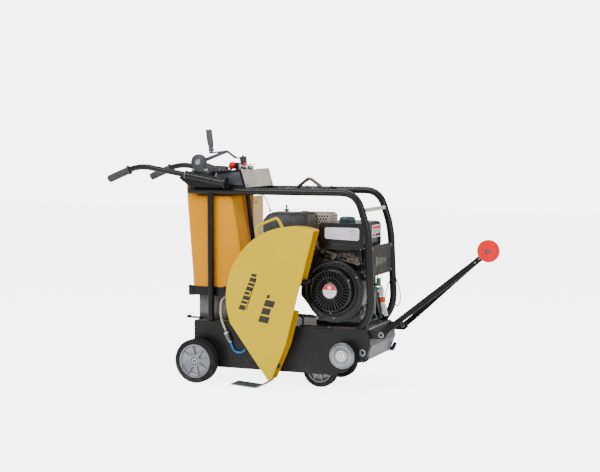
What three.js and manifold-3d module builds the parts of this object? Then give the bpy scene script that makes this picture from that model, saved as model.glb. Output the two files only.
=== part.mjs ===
// A walk-behind concrete saw: a steel chassis on four wheels with a tube frame, a water tank, a
// petrol engine, a belt-driven blade spindle and a blade guard that swings up beside it.
// Millimetres, +Z up, +X forwards, +Y to the operator's left. The machine is drawn with the rear
// axle over x = 0 and the ground at z = 0, and then shifted to stand on the middle of its box.
import * as THREE from "three";
import { mergeVertices } from "three/addons/utils/BufferGeometryUtils.js";
import Module from "manifold-3d";

const wasm = await Module();
wasm.setup();

// ---------------------------------------------------------------- driving dimensions
const BOX_CENTRE_X = 438.2;
const BOX_CENTRE_Y = -13;
const GAP = 0.3;

const CHASSIS = { halfWidth: 178, top: 276, bottom: 67, rear: -38, wall: 4 };
const TUBE = { radius: 16, y: 160, top: 872, rear: -68, uprightX: 40, uprightRadius: 15 };
const REAR_WHEEL = { radius: 100, width: 52, outerY: 256, rimRadius: 76, axleRadius: 10 };
const FRONT_WHEEL = { radius: 80, width: 44, x: 563, rightY: -140, leftY: 164, rimRadius: 58 };
const SWING = { x: 385, z: 165, leverX: 246, leverZ: 140, stubRadius: 9 };
const SPINDLE = { x: 702, z: 164, radius: 12, flangeRadius: 57.5 };
const GUARD = { x: 488, z: 401, radius: 322, outerY: -268, innerY: -192, sheet: 3 };
const GUARD_PIVOT = { x: 388, z: 97, radius: 6 };
const ENGINE = { x: 628, z: 440, left: 118 };
const PULLEY = { y: 188, width: 32, engineRadius: 52, spindleRadius: 46, groove: 8 };
const CRANK = { x: 132, z: 1003, tilt: THREE.MathUtils.degToRad(-7.5), reach: 157 };
const SCREW = { radius: 7, jacket: 10.5, length: 900 };
const HANDLE = { y: 205, radius: 13, socketRadius: 19, slope: 0.173, rearX: -62, rearZ: 944 };
const GUIDE = { x: 863, z: 257, y: 162, length: 567, tilt: THREE.MathUtils.degToRad(-40.35) };
const GUIDE_WHEEL = { radius: 49, width: 20, y: -13 };
const THROTTLE = { x: -5, y: -178, z: 1002, radius: 36 };
const CONSOLE = { halfWidth: 155, rear: -42, bottom: 888.6, rearTop: 948, frontTop: 968 };

// ---------------------------------------------------------------- shape helpers
// The corner radius of a many-sided hole whose flats clear a round shaft by the usual gap.
const bore = (radius, sides) => (radius + GAP) / Math.cos(Math.PI / sides);

function weld(geometry) {
  const bare = geometry.clone();
  bare.deleteAttribute("normal");
  bare.deleteAttribute("uv");
  const merged = mergeVertices(bare, 1e-3);
  const kept = [];
  const index = merged.index.array;
  for (let i = 0; i < index.length; i += 3) {
    const [a, b, c] = [index[i], index[i + 1], index[i + 2]];
    if (a !== b && b !== c && a !== c) kept.push(a, b, c);
  }
  merged.setIndex(volume(merged.attributes.position, kept) < 0 ? kept.reverse() : kept);
  return merged;
}

function volume(position, index) {
  const corner = (i) => new THREE.Vector3().fromBufferAttribute(position, index[i]);
  let sum = 0;
  for (let i = 0; i < index.length; i += 3) sum += corner(i).dot(corner(i + 1).cross(corner(i + 2)));
  return sum / 6;
}

function toSolid(geometry) {
  const closed = weld(geometry);
  return new wasm.Manifold(new wasm.Mesh({
    numProp: 3,
    vertProperties: new Float32Array(closed.attributes.position.array),
    triVerts: new Uint32Array(closed.index.array),
  }));
}

function fromSolid(solid) {
  const mesh = solid.getMesh();
  const geometry = new THREE.BufferGeometry();
  geometry.setAttribute("position", new THREE.BufferAttribute(mesh.vertProperties, 3));
  geometry.setIndex(new THREE.BufferAttribute(mesh.triVerts, 1));
  return geometry;
}

function join(...geometries) {
  return fromSolid(geometries.map(toSolid).reduce((whole, next) => whole.add(next)));
}

function cut(geometry, ...tools) {
  return fromSolid(tools.map(toSolid).reduce((left, tool) => left.subtract(tool), toSolid(geometry)));
}

function box(x0, x1, y0, y1, z0, z1) {
  const geometry = new THREE.BoxGeometry(x1 - x0, y1 - y0, z1 - z0);
  return geometry.translate((x0 + x1) / 2, (y0 + y1) / 2, (z0 + z1) / 2);
}

function rod(from, to, radius, sides = 20) {
  const start = new THREE.Vector3(...from);
  const end = new THREE.Vector3(...to);
  const along = end.clone().sub(start);
  const geometry = new THREE.CylinderGeometry(radius, radius, along.length(), sides);
  const turn = new THREE.Quaternion();
  turn.setFromUnitVectors(new THREE.Vector3(0, 1, 0), along.clone().normalize());
  geometry.applyQuaternion(turn);
  const middle = start.add(end).multiplyScalar(0.5);
  return geometry.translate(middle.x, middle.y, middle.z);
}

function discY(x, z, y0, y1, radius, sides = 28) {
  return rod([x, y0, z], [x, y1, z], radius, sides);
}

function outline(points) {
  return new THREE.Shape(points.map(([u, v]) => new THREE.Vector2(u, v)));
}

// A closed outline whose corners are rounded: each point is [u, v, corner radius].
function roundedOutline(points) {
  const shape = new THREE.Shape();
  const corner = points.map(([u, v]) => new THREE.Vector2(u, v));
  points.forEach(([u, v, radius = 0], i) => {
    const before = corner[(i + points.length - 1) % points.length].clone().sub(corner[i]);
    const after = corner[(i + 1) % points.length].clone().sub(corner[i]);
    const enter = corner[i].clone().add(before.setLength(Math.max(radius, 1e-3)));
    const leave = corner[i].clone().add(after.setLength(Math.max(radius, 1e-3)));
    if (i === 0) shape.moveTo(enter.x, enter.y);
    else shape.lineTo(enter.x, enter.y);
    if (radius > 0) shape.quadraticCurveTo(u, v, leave.x, leave.y);
  });
  shape.closePath();
  return shape;
}

function extrude(shape, depth, curveSegments) {
  return new THREE.ExtrudeGeometry(shape, { depth, curveSegments, bevelEnabled: false });
}

// Side profiles are drawn in x and z and run along y; front profiles are drawn in y and z.
function alongY(shape, y0, y1, curveSegments = 6) {
  return extrude(shape, y1 - y0, curveSegments).rotateX(Math.PI / 2).translate(0, y1, 0);
}

function alongX(shape, x0, x1, curveSegments = 6) {
  const axes = new THREE.Matrix4().makeBasis(
    new THREE.Vector3(0, 1, 0), new THREE.Vector3(0, 0, 1), new THREE.Vector3(1, 0, 0));
  return extrude(shape, x1 - x0, curveSegments).applyMatrix4(axes).translate(x0, 0, 0);
}

function alongZ(shape, z0, z1, curveSegments = 6) {
  return extrude(shape, z1 - z0, curveSegments).translate(0, 0, z0);
}

// A path of straight runs with its corners eased: each point is [x, y, z, corner length].
function bentPath(points) {
  const path = new THREE.CurvePath();
  const at = points.map(([x, y, z]) => new THREE.Vector3(x, y, z));
  let last = at[0];
  for (let i = 1; i < at.length - 1; i += 1) {
    const ease = points[i][3];
    const enter = at[i].clone().add(at[i - 1].clone().sub(at[i]).setLength(ease));
    const leave = at[i].clone().add(at[i + 1].clone().sub(at[i]).setLength(ease));
    path.add(new THREE.LineCurve3(last, enter));
    path.add(new THREE.QuadraticBezierCurve3(enter, at[i], leave));
    last = leave;
  }
  path.add(new THREE.LineCurve3(last, at[at.length - 1]));
  return path;
}

function tubeAlong(path, radius, steps, sides = 12) {
  const section = new THREE.Shape();
  for (let i = 0; i < sides; i += 1) {
    const angle = (2 * Math.PI * i) / sides;
    const u = radius * Math.cos(angle);
    const v = radius * Math.sin(angle);
    if (i === 0) section.moveTo(u, v);
    else section.lineTo(u, v);
  }
  return new THREE.ExtrudeGeometry(section, { steps, bevelEnabled: false, extrudePath: path });
}

// A turned piece about the y axis: profile points are [radius, y].
function turnedY(profile, x, z, sides = 32) {
  const points = profile.map(([radius, y]) => new THREE.Vector2(radius, y));
  return new THREE.LatheGeometry(points, sides).translate(x, 0, z);
}

// ---------------------------------------------------------------- finishes and the node maker
const finish = (color, roughness, metalness) =>
  new THREE.MeshStandardMaterial({ color, roughness, metalness });
const FINISHES = {
  frame: finish(0x26262a, 0.45, 0.4),
  guard: finish(0xf8d724, 0.35, 0.2),
  tank: finish(0xf7b52a, 0.5, 0.0),
  zinc: finish(0xb9c2cc, 0.3, 0.9),
  panel: finish(0xcdc5b7, 0.35, 0.6),
  grip: finish(0x4b4b4e, 0.8, 0.0),
  tyre: finish(0x2c2c2e, 0.85, 0.0),
  rim: finish(0xc4c4ca, 0.4, 0.8),
  red: finish(0xf0504b, 0.5, 0.0),
  engine: finish(0x1d1d1f, 0.4, 0.5),
  plastic: finish(0x3a3a3e, 0.6, 0.0),
  blueHose: finish(0x2a6fb4, 0.4, 0.0),
  clearHose: finish(0xd8d4cc, 0.3, 0.0),
};

const machine = new THREE.Group();
machine.position.set(-BOX_CENTRE_X, -BOX_CENTRE_Y, 0);

function node(name, geometry, finishName, parent = machine) {
  const mesh = new THREE.Mesh(weld(geometry), FINISHES[finishName]);
  mesh.name = name;
  parent.add(mesh);
}

// ---------------------------------------------------------------- chassis and tube frame
function chassis() {
  const { halfWidth, top, bottom, rear, wall } = CHASSIS;
  const side = outline([
    [rear, top], [rear, bottom], [640, bottom], [755, 127], [793, 140], [817, 207], [812, 242], [796,
      top]]);
  const inside = outline([
    [rear + wall, top - wall], [rear + wall, 0], [789, 0], [789, 140], [812.5, 207], [808, 241], [792,
      top - wall]]);
  const shell = cut(
    alongY(side, -halfWidth, halfWidth),
    alongY(inside, wall - halfWidth, halfWidth - wall),
    discY(0, REAR_WHEEL.radius, -200, 200, bore(REAR_WHEEL.axleRadius, 28)),
    discY(SWING.x, SWING.z, -200, 200, bore(SWING.stubRadius, 28)),
    box(208, 248, -22, 22, top - 20, top + 20));
  const { x, z } = SPINDLE;
  const hangers = [[-152, -144], [92, 100]].map(([a, b]) => box(x - 30, x + 30, a, b, z, top - 1));
  const lug = outline([[790, 272], [790, 236], [868, 236], [884, 250], [880, 272]]);
  const pieces = [shell, discY(x, z, -187, 120, 34, 28), ...hangers];
  for (const side of [-1, 1]) {
    const [near, far] = side < 0 ? [-158, -149] : [149, 158];
    pieces.push(alongY(lug, near, far));
    pieces.push(discY(GUIDE.x, GUIDE.z, side * 155, side * 167, 6, 16));
    pieces.push(discY(GUIDE.x, GUIDE.z, side * 165.6, side * 171, 13, 20));
  }
  return cut(join(...pieces), discY(x, z, -300, 300, bore(SPINDLE.radius, 24), 24));
}

function sideFrame(y) {
  const { radius, top, rear, uprightX, uprightRadius } = TUBE;
  const path = bentPath([
    [rear, y, top], [742, y, top, 70], [797, y, 705, 60], [814, y, 345, 60], [752, y, 262]]);
  const welded = join(
    tubeAlong(path, radius, 30, 12),
    rod([uprightX, y, top], [uprightX, y, 250], uprightRadius, 12));
  return cut(welded, box(rear - 50, 900, y - 60, y + 60, 100, CHASSIS.top + GAP));
}

function liftingBracket() {
  const inner = TUBE.y - TUBE.radius - GAP;
  const rail = box(386, 540, -18, 18, 880, 886);
  const bars = [392, 512].map((x) => box(x, x + 22, -inner, inner, 880, 886));
  const eye = tubeAlong(bentPath([[398, 0, 882], [460, 0, 931, 14], [528, 0, 882]]), 7, 8, 8);
  return join(rail, ...bars, eye);
}

const tubeInside = TUBE.y - TUBE.radius - GAP;
node("chassis", chassis(), "frame");
node("side_frame_right", sideFrame(-TUBE.y), "frame");
node("side_frame_left", sideFrame(TUBE.y), "frame");
node("cross_bar", discY(770, 795, 0.4 - tubeInside, tubeInside - 0.4, 9, 16), "panel");
node("front_plate", box(804, 807, 0.2 - tubeInside, tubeInside - 0.2, 504, 638), "frame");
node("lifting_bracket", liftingBracket(), "frame");

// ---------------------------------------------------------------- console and its controls
const screwAxis = (distance) => [
  CRANK.x + distance * Math.sin(-CRANK.tilt), 0, CRANK.z - distance * Math.cos(CRANK.tilt)];

function consoleShell() {
  const { halfWidth, rear, bottom, rearTop, frontTop } = CONSOLE;
  const side = outline([[rear, bottom], [213, bottom], [190, frontTop], [rear, rearTop]]);
  const inside = outline([
    [rear + 3, bottom - 9], [260, bottom - 9], [260, frontTop + 2], [rear + 3, rearTop - 3]]);
  const shell = cut(alongY(side, -halfWidth, halfWidth), alongY(inside, 3 - halfWidth, halfWidth - 3));
  const switchBox = box(128, 140, -82, -58, 959, 999);
  const valve = join(rod([168, -60, 964], [168, -60, 986], 10, 16), rod([150, -60, 976], [186, -60, 976],
    7, 12));
  return cut(join(shell, switchBox, valve),
    rod(screwAxis(20), screwAxis(120), bore(SCREW.jacket, 20), 20),
    rod([120, -70, 985], [136, -70, 985], 7.4, 20));
}

function frontPanel() {
  const { halfWidth, bottom, frontTop } = CONSOLE;
  const face = outline([[190.6, frontTop], [194, frontTop], [217, bottom], [213.6, bottom]]);
  return alongY(face, -halfWidth, halfWidth);
}

function handleSocket(side) {
  const { y, radius, socketRadius, rearX, rearZ } = HANDLE;
  const front = [140, side * y, 909];
  const rear = [rearX, side * y, rearZ];
  const lip = [132, side * y, 910.4];
  const web = outline([[-95, 934], [-92, 926], [-40, 888.6], [150, 888.6], [150, 900], [-60, 940]]);
  const [webA, webB] = side < 0 ? [-208, -202] : [202, 208];
  const [footA, footB] = side < 0 ? [-208, -157] : [157, 208];
  const body = join(
    rod(rear, front, socketRadius, 20), rod(lip, front, 26, 20),
    alongY(web, webA, webB), box(-40, 150, footA, footB, CHASSIS.top + 612.6, CHASSIS.top + 617));
  return cut(body, rod([-162, side * y, 961.3], [128, side * y, 911.1], bore(radius, 20), 20));
}

function handlebar(side) {
  const y = side * HANDLE.y;
  const path = bentPath([[122, y, 912.1], [-302, y, 985.5, 48], [-455, y, 922.5]]);
  return tubeAlong(path, HANDLE.radius, 22, 12);
}

function grip(side) {
  const y = side * HANDLE.y;
  const at = (s) => [-302 - s * 0.9244, y, 985.5 - s * 0.3806];
  const body = join(rod(at(58), at(172), 17.5, 20), rod(at(54), at(61), 23, 20));
  return cut(body, rod(at(40), at(166), bore(HANDLE.radius, 12), 12));
}

function throttleBase() {
  const { x, y, z, radius } = THROTTLE;
  const disc = turnedY([[0, -200], [26, -200], [radius, -195], [radius, y + 0.5], [0, y + 0.5]], x, z, 28);
  const arm = outline([[10, 976], [104, 972], [128, 970], [128, 986], [70, 987], [30, 1000]]);
  return join(disc, box(-26, 28, -198, y - 1, 958.8, 980), alongY(arm, -194, -180),
    box(102, 126, -190, -146, 968.5, 982));
}

function throttleLever() {
  const { x, z } = THROTTLE;
  const arm = outline([[x, z - 9], [125, 1042], [133, 1046], [131, 1055], [122, 1056], [x, z + 9]]);
  return join(discY(x, z, -176.5, -169, 22, 24), alongY(arm, -176, -170));
}

function crankArm() {
  const arm = outline([
    [-16, 14], [16, 14], [16, 20], [-34, 23], [-76, 61], [-168, 64], [-168, 57], [-79, 54], [-38, 18]]);
  return join(alongZ(new THREE.Shape().absarc(0, 0, 16, 0, 2 * Math.PI), -18, 18, 10),
    alongY(arm, -9, 9), rod([-CRANK.reach, 0, 60], [-CRANK.reach, 0, 166], 4.5, 12));
}

function crankGrip() {
  const profile = [
    [4.9, 66], [9, 66], [9, 84], [13, 92], [15, 120], [15, 165], [13, 170], [0, 170], [0, 166.5], [4.9,
      166.5],
    [4.9, 66]];
  const points = profile.map(([radius, z]) => new THREE.Vector2(radius, z));
  return new THREE.LatheGeometry(points, 24).rotateX(Math.PI / 2).translate(-CRANK.reach, 0, 0);
}

const crankFrame = new THREE.Group();
crankFrame.position.set(CRANK.x, 0, CRANK.z);
crankFrame.rotation.y = CRANK.tilt;
machine.add(crankFrame);

node("console", consoleShell(), "frame");
node("console_front_panel", frontPanel(), "panel");
for (const [name, side] of [["right", -1], ["left", 1]]) {
  node(`handle_socket_${name}`, handleSocket(side), "frame");
  node(`handlebar_${name}`, handlebar(side), "frame");
  node(`grip_${name}`, grip(side), "grip");
}
node("throttle_base", throttleBase(), "plastic");
node("throttle_lever", throttleLever(), "plastic");
node("crank_arm", crankArm(), "plastic", crankFrame);
node("crank_grip", crankGrip(), "grip", crankFrame);
node("depth_screw", rod([0, 0, -18.4], [0, 0, -SCREW.length], SCREW.radius, 12), "zinc", crankFrame);
node("screw_jacket", cut(rod([0, 0, -22], [0, 0, -729], SCREW.jacket, 16),
  rod([0, 0, -10], [0, 0, -740], SCREW.radius + 1, 12)), "frame", crankFrame);
node("stop_button", join(rod([94, -70, 985], [122, -70, 985], 17.5, 24),
  rod([121, -70, 985], [131, -70, 985], 7, 16)), "red");
node("water_valve_lever", join(rod([168, -60, 986.4], [168, -60, 993], 9, 16),
  box(168, 222, -66, -54, 988, 992)), "red");

// ---------------------------------------------------------------- water system
function waterTank() {
  const rightLobe = roundedOutline([
    [-60, 409, 16], [108, 409, 16], [112, 440, 10], [184, 540, 20], [180, 604, 20], [134, 850, 18],
    [-44, 850, 2], [-46, 903, 8], [-98, 903, 10]]);
  const leftLobe = roundedOutline([
    [-60, 409, 16], [104, 409, 16], [118, 560, 20], [128, 850, 18], [-44, 850, 2], [-46, 903, 8], [-98,
      903, 10]]);
  return join(alongY(rightLobe, -138, -20), alongY(leftLobe, -20.5, 138),
    rod([-72, 0, 900], [-72, 0, 908], 19, 20));
}

function tankTray() {
  const tray = cut(box(-80, 117, -142, 142, 389, 430), box(-76, 113, -139.5, 139.5, 393, 440));
  const stand = cut(box(-44, 90, -105, 105, CHASSIS.top + GAP, 390), box(-41, 87, -102, 102, 200, 400));
  return join(tray, stand);
}

const hoseSide = -185.5;
node("water_tank", cut(waterTank(), rod([-72, 0, 896], [-72, 0, 920], 15, 20)), "tank");
node("tank_cap", join(rod([-72, 0, 908.4], [-72, 0, 922], 23, 24), rod([-72, 0, 898], [-72, 0, 909], 14.4,
  20)),
  "plastic");
node("tank_tray", tankTray(), "frame");
node("heat_shield", alongX(roundedOutline([
  [26, CHASSIS.top + GAP], [140, CHASSIS.top + GAP], [140, 842, 24], [26, 842]]), 168, 170.5), "panel");
node("supply_hose", tubeAlong(bentPath([
  [103, -146, 384], [101, -182, 372, 16], [97, hoseSide, 300, 26], [126, hoseSide, 236.5]]), 5, 16, 8),
    "clearHose");
node("quick_connector", join(rod([126.3, hoseSide - 4, 235.8], [148, hoseSide - 4, 188], 9, 16),
  rod([132, hoseSide - 4, 223], [143, hoseSide - 4, 199], 11.5, 16)), "zinc");
node("blue_hose", tubeAlong(bentPath([
  [148.4, hoseSide, 187.2], [168, hoseSide, 142, 22], [206, hoseSide, 140, 20], [226, hoseSide, 158]]), 5,
    14, 8),
  "blueHose");

// ---------------------------------------------------------------- wheels and running gear
function rimProfile(radius, width, bore) {
  const half = width / 2;
  return [[bore, -half + 4], [bore + 14, -half + 4], [bore + 14, -half + 12], [radius - 8, -half + 12],
    [radius - 4, -half + 3], [radius, -half + 3], [radius, half - 3], [radius - 4, half - 3],
    [radius - 8, half - 12], [bore + 14, half - 12], [bore + 14, half - 4], [bore, half - 4], [bore,
      -half + 4]];
}

function tyreProfile(radius, width, inner) {
  const half = width / 2;
  return [[inner + GAP, -half + 2], [inner + 6, -half], [radius - 7, -half], [radius, -half + 8],
    [radius, half - 8], [radius - 7, half], [inner + 6, half], [inner + GAP, half - 2], [inner + GAP,
      -half + 2]];
}

function wheel(name, wheelSize, x, middleY, bore) {
  const { radius, width, rimRadius } = wheelSize;
  const shift = (profile) => profile.map(([r, y]) => [r, y + middleY]);
  node(`${name}_rim`, turnedY(shift(rimProfile(rimRadius, width, bore)), x, radius, 24), "rim");
  node(`${name}_tyre`, turnedY(shift(tyreProfile(radius, width, rimRadius)), x, radius, 24), "tyre");
}

function swingFrame() {
  const { x, z, leverX, leverZ, stubRadius } = SWING;
  const arm = outline([[x, z + 16], [x - 14, z], [x, z - 16], [556, 66], [575, 74], [572, 94]]);
  const lever = outline([[x, z + 20], [x, z - 20], [leverX - 36, leverZ - 18], [leverX - 36, leverZ + 16]]);
  const slot = outline([
    [leverX - 24, leverZ - 10], [leverX + 24, leverZ - 6], [leverX + 24, leverZ + 11], [leverX - 24,
      leverZ + 7]]);
  const middle = [[-88, -78], [102, 112]].map(([a, b]) => alongY(arm, a, b));
  const levers = [[-25, -17], [17, 25]].map(([a, b]) => alongY(lever, a, b));
  const whole = join(
    discY(x, z, -171, 171, 14, 20), discY(x, z, -182, 182, stubRadius, 20),
    discY(FRONT_WHEEL.x, FRONT_WHEEL.radius, -148, 172, 9, 20), ...middle, ...levers);
  return cut(whole, alongY(slot, -40, 40));
}

function screwNut() {
  const { leverX, leverZ } = SWING;
  const body = join(box(leverX - 18, leverX + 18, -14, 14, leverZ - 12, leverZ + 12),
    discY(leverX, leverZ, -26, 26, 4, 14));
  return cut(body, rod(screwAxis(840), screwAxis(890), bore(SCREW.radius, 12), 12));
}

const rearMiddle = REAR_WHEEL.outerY - REAR_WHEEL.width / 2;
node("rear_axle", discY(0, REAR_WHEEL.radius, -252, 252, REAR_WHEEL.axleRadius, 20), "zinc");
wheel("rear_right", REAR_WHEEL, 0, -rearMiddle, bore(REAR_WHEEL.axleRadius, 20));
wheel("rear_left", REAR_WHEEL, 0, rearMiddle, bore(REAR_WHEEL.axleRadius, 20));
node("swing_frame", swingFrame(), "frame");
node("screw_nut", screwNut(), "zinc");
wheel("front_right", FRONT_WHEEL, FRONT_WHEEL.x, FRONT_WHEEL.rightY + FRONT_WHEEL.width / 2, bore(9, 20));
wheel("front_left", FRONT_WHEEL, FRONT_WHEEL.x, FRONT_WHEEL.leftY - FRONT_WHEEL.width / 2, bore(9, 20));
node("brake_pedal", join(box(-92, -30, -138, -112, 280, 285), discY(-30, 282, -138, -112, 5, 14),
  box(-96, -86, -138, -112, 280, 292)), "frame");

// ---------------------------------------------------------------- blade spindle and belt drive
function spoolProfile(radius, bore) {
  const { y, width, groove } = PULLEY;
  return [[bore, y], [radius, y], [radius, y + 3], [radius - groove, y + 5], [radius - groove,
    y + width - 5],
    [radius, y + width - 3], [radius, y + width], [bore, y + width], [bore, y]];
}

// The outline that wraps two circles, engine pulley first, grown by a margin.
function wrapOutline(margin) {
  const top = new THREE.Vector2(ENGINE.x, ENGINE.z);
  const low = new THREE.Vector2(SPINDLE.x, SPINDLE.z);
  const topRadius = PULLEY.engineRadius + margin;
  const lowRadius = PULLEY.spindleRadius + margin;
  const line = low.clone().sub(top);
  const heading = Math.atan2(line.y, line.x);
  const lean = Math.acos((topRadius - lowRadius) / line.length());
  const shape = new THREE.Shape();
  shape.absarc(top.x, top.y, topRadius, heading + lean, heading - lean + 2 * Math.PI, false);
  shape.absarc(low.x, low.y, lowRadius, heading - lean, heading + lean, false);
  shape.closePath();
  return shape;
}

const { x: spindleX, z: spindleZ, radius: spindleR, flangeRadius } = SPINDLE;
node("spindle", join(discY(spindleX, spindleZ, -236, 222, spindleR, 24),
  discY(spindleX, spindleZ, -226, -216, flangeRadius, 32),
  turnedY(spoolProfile(PULLEY.spindleRadius, spindleR - 2), spindleX, spindleZ, 24)), "zinc");
node("outer_flange", cut(join(
  turnedY([[0, -226.4], [flangeRadius, -226.4], [flangeRadius, -231], [40, -236], [0, -236]], spindleX,
    spindleZ, 32),
  discY(spindleX, spindleZ, -248, -235, 15, 6)), discY(spindleX, spindleZ, -236.4, -200, bore(spindleR,
    24), 24)),
  "zinc");
node("engine_pulley", join(turnedY(spoolProfile(PULLEY.engineRadius, 10), ENGINE.x, ENGINE.z, 24),
  discY(ENGINE.x, ENGINE.z, 132.4, 222, 12, 20)), "zinc");
node("drive_belt", cut(alongY(wrapOutline(1), PULLEY.y + 6, PULLEY.y + PULLEY.width - 6, 10),
  alongY(wrapOutline(GAP - PULLEY.groove), PULLEY.y, PULLEY.y + PULLEY.width, 10)), "tyre");
node("belt_guard", cut(alongY(wrapOutline(20), 179, 234, 12), alongY(wrapOutline(17), 170, 231, 12)),
  "frame");

// ---------------------------------------------------------------- blade guard
function bladeGuard() {
  const { x, z, radius, outerY, innerY, sheet } = GUARD;
  const outlineOf = (inset, edgeShift) => {
    const shape = new THREE.Shape();
    const r = radius - inset;
    shape.moveTo(582 + edgeShift, z + r * 0.955);
    shape.absarc(x, z, r, 1.272, Math.PI + 0.38, false);
    shape.lineTo(370 + inset, 37 + inset * 1.6);
    shape.lineTo(381 + edgeShift, 43);
    shape.lineTo(427 + edgeShift, 144);
    shape.lineTo(451 + edgeShift, 203);
    shape.closePath();
    return shape;
  };
  const whole = alongY(outlineOf(0, 0), outerY, innerY, 20);
  const hollow = alongY(outlineOf(sheet, 60), outerY + sheet, innerY - sheet, 20);
  const slot = outline([[x - 34, z - 48], [x + 70, z - 70], [x + 98, z + 52], [x - 6, z + 74]]);
  const neck = discY(x, z, innerY - 10, innerY + 10, 50, 28);
  return cut(whole, hollow, alongY(slot, innerY - 10, innerY + 10), neck,
    discY(GUARD_PIVOT.x, GUARD_PIVOT.z, innerY - 10, innerY + 10, bore(GUARD_PIVOT.radius, 20), 20));
}

const guardHandle = tubeAlong(bentPath([
  [322, -230, 664], [292, -230, 702, 14], [304, -230, 722, 6], [400, -230, 762, 12], [432, -230, 706]]),
    5.5, 18, 8);
const footOutline = roundedOutline([
  [192, 11], [320, 2, 14], [374, 36], [369, 39], [318, 7, 12], [192, 16]]);
node("blade_guard", join(bladeGuard(), guardHandle), "guard");
node("foot_plate", cut(alongY(footOutline, -282, -193), box(340, 420, -300, -180, 33, 60)), "zinc");
node("guard_pivot_bolt", join(discY(GUARD_PIVOT.x, GUARD_PIVOT.z, -204, -178.4, GUARD_PIVOT.radius, 20),
  discY(GUARD_PIVOT.x, GUARD_PIVOT.z, -191.6, -178.4, 14, 20),
  discY(GUARD_PIVOT.x, GUARD_PIVOT.z, -203, -195.4, 13, 6)), "zinc");

// ---------------------------------------------------------------- engine
function engineBlock() {
  const cylinder = new THREE.BoxGeometry(190, 170, 150).rotateY(THREE.MathUtils.degToRad(22));
  const head = new THREE.BoxGeometry(34, 130, 110).rotateY(THREE.MathUtils.degToRad(22));
  return join(box(545, 742, -98, ENGINE.left, 292, 560), box(528, 762, -86, 104, CHASSIS.top + GAP, 296),
    cylinder.translate(484, 10, 545), head.translate(382, 10, 586),
    discY(ENGINE.x, ENGINE.z, ENGINE.left - 4, 132, 42, 24));
}

function fanShroud() {
  const plate = outline([[477, 413], [553, 322], [640, 300], [660, 560], [560, 590], [490, 560]]);
  return cut(join(discY(638, 434, -150, -98.4, 138, 40), alongY(plate, -146, -98.4)),
    box(300, 900, -170, -60, 100, 297));
}

function recoilCover() {
  return turnedY([[0, -184], [60, -184], [92, -176], [103, -162], [103, -150.4], [0, -150.4]],
    ENGINE.x, ENGINE.z, 36);
}

function airCleaner() {
  const side = roundedOutline([[262, 676, 10], [478, 676, 8], [478, 772, 10], [292, 772, 16], [262, 740,
    12]]);
  return alongY(side, -72, 40, 5);
}

node("engine_block", engineBlock(), "engine");
node("fan_shroud", fanShroud(), "engine");
node("recoil_cover", recoilCover(), "engine");
node("recoil_grip", join(box(500, 530, -182, -160, 474, 486), box(511, 519, -176, -166, 466, 476)),
  "plastic");
node("fuel_tank", alongY(roundedOutline([
  [562, 622, 18], [774, 622, 18], [774, 738, 22], [562, 738, 22]]), -148, 90, 5), "engine");
node("fuel_cap", turnedY([[0, 0], [36, 0], [36, 10], [30, 22], [0, 22]], 0, 0, 32)
  .rotateX(Math.PI / 2).translate(655, -30, 738.5), "plastic");
node("air_cleaner", airCleaner(), "plastic");
node("muffler", alongY(roundedOutline([[424, 662, 18], [545, 662, 18], [545, 768, 18], [424, 768, 18]]),
  50, 140, 5),
  "panel");
node("throttle_cable", tubeAlong(bentPath([
  [206, -30, 886], [226, -30, 862, 16], [262, -30, 838, 26], [281, -30, 772.5]]), 2.5, 14, 8), "plastic");

// ---------------------------------------------------------------- front guide
function guideArm() {
  const { length, y } = GUIDE;
  const strip = outline([
    [-14, y - 3.2], [62, y - 3.2], [462, 4], [length - 40, 4], [length + 12, 4], [length + 12, 10], [466,
      10],
    [64, y + 3], [-14, y + 3]]);
  const mirrored = outline([
    [-14, -y + 3.2], [62, -y + 3.2], [470, 5], [length - 60, 5], [length - 60, -2], [474, -2], [64, -y - 3],
    [-14, -y - 3]]);
  const bars = join(alongZ(strip, -12.5, 12.5), alongZ(mirrored, -12.5, 12.5),
    rod([length, 8, 0], [length, GUIDE_WHEEL.y - 14, 0], 5, 16),
    rod([length, GUIDE_WHEEL.y - 11, 0], [length, GUIDE_WHEEL.y - 16, 0], 9, 6));
  return cut(bars, rod([0, -200, 0], [0, 200, 0], bore(6, 16), 16));
}

function guideWheel() {
  const { radius, width } = GUIDE_WHEEL;
  const half = width / 2;
  const profile = [[5.4, -half], [radius - 5, -half], [radius, -half + 5], [radius, half - 5],
    [radius - 5, half],
    [5.4, half], [5.4, -half]];
  const middle = profile.map(([r, y]) => [r, y + GUIDE_WHEEL.y]);
  return turnedY(middle, GUIDE.length, 0, 28);
}

const guideFrame = new THREE.Group();
guideFrame.position.set(GUIDE.x, 0, GUIDE.z);
guideFrame.rotation.y = GUIDE.tilt;
machine.add(guideFrame);
node("guide_arm", guideArm(), "frame", guideFrame);
node("guide_wheel", guideWheel(), "red", guideFrame);

export default machine;
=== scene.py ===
"""Looks for the walk-behind concrete saw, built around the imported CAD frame.

Shapes are drawn in machine millimetres: x = 0 over the rear axle, y = 0 on the centre line,
z = 0 on the ground, +x forwards, +y to the operator's left.
"""
import math

import bmesh
import bpy
from mathutils import Matrix, Vector


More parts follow.
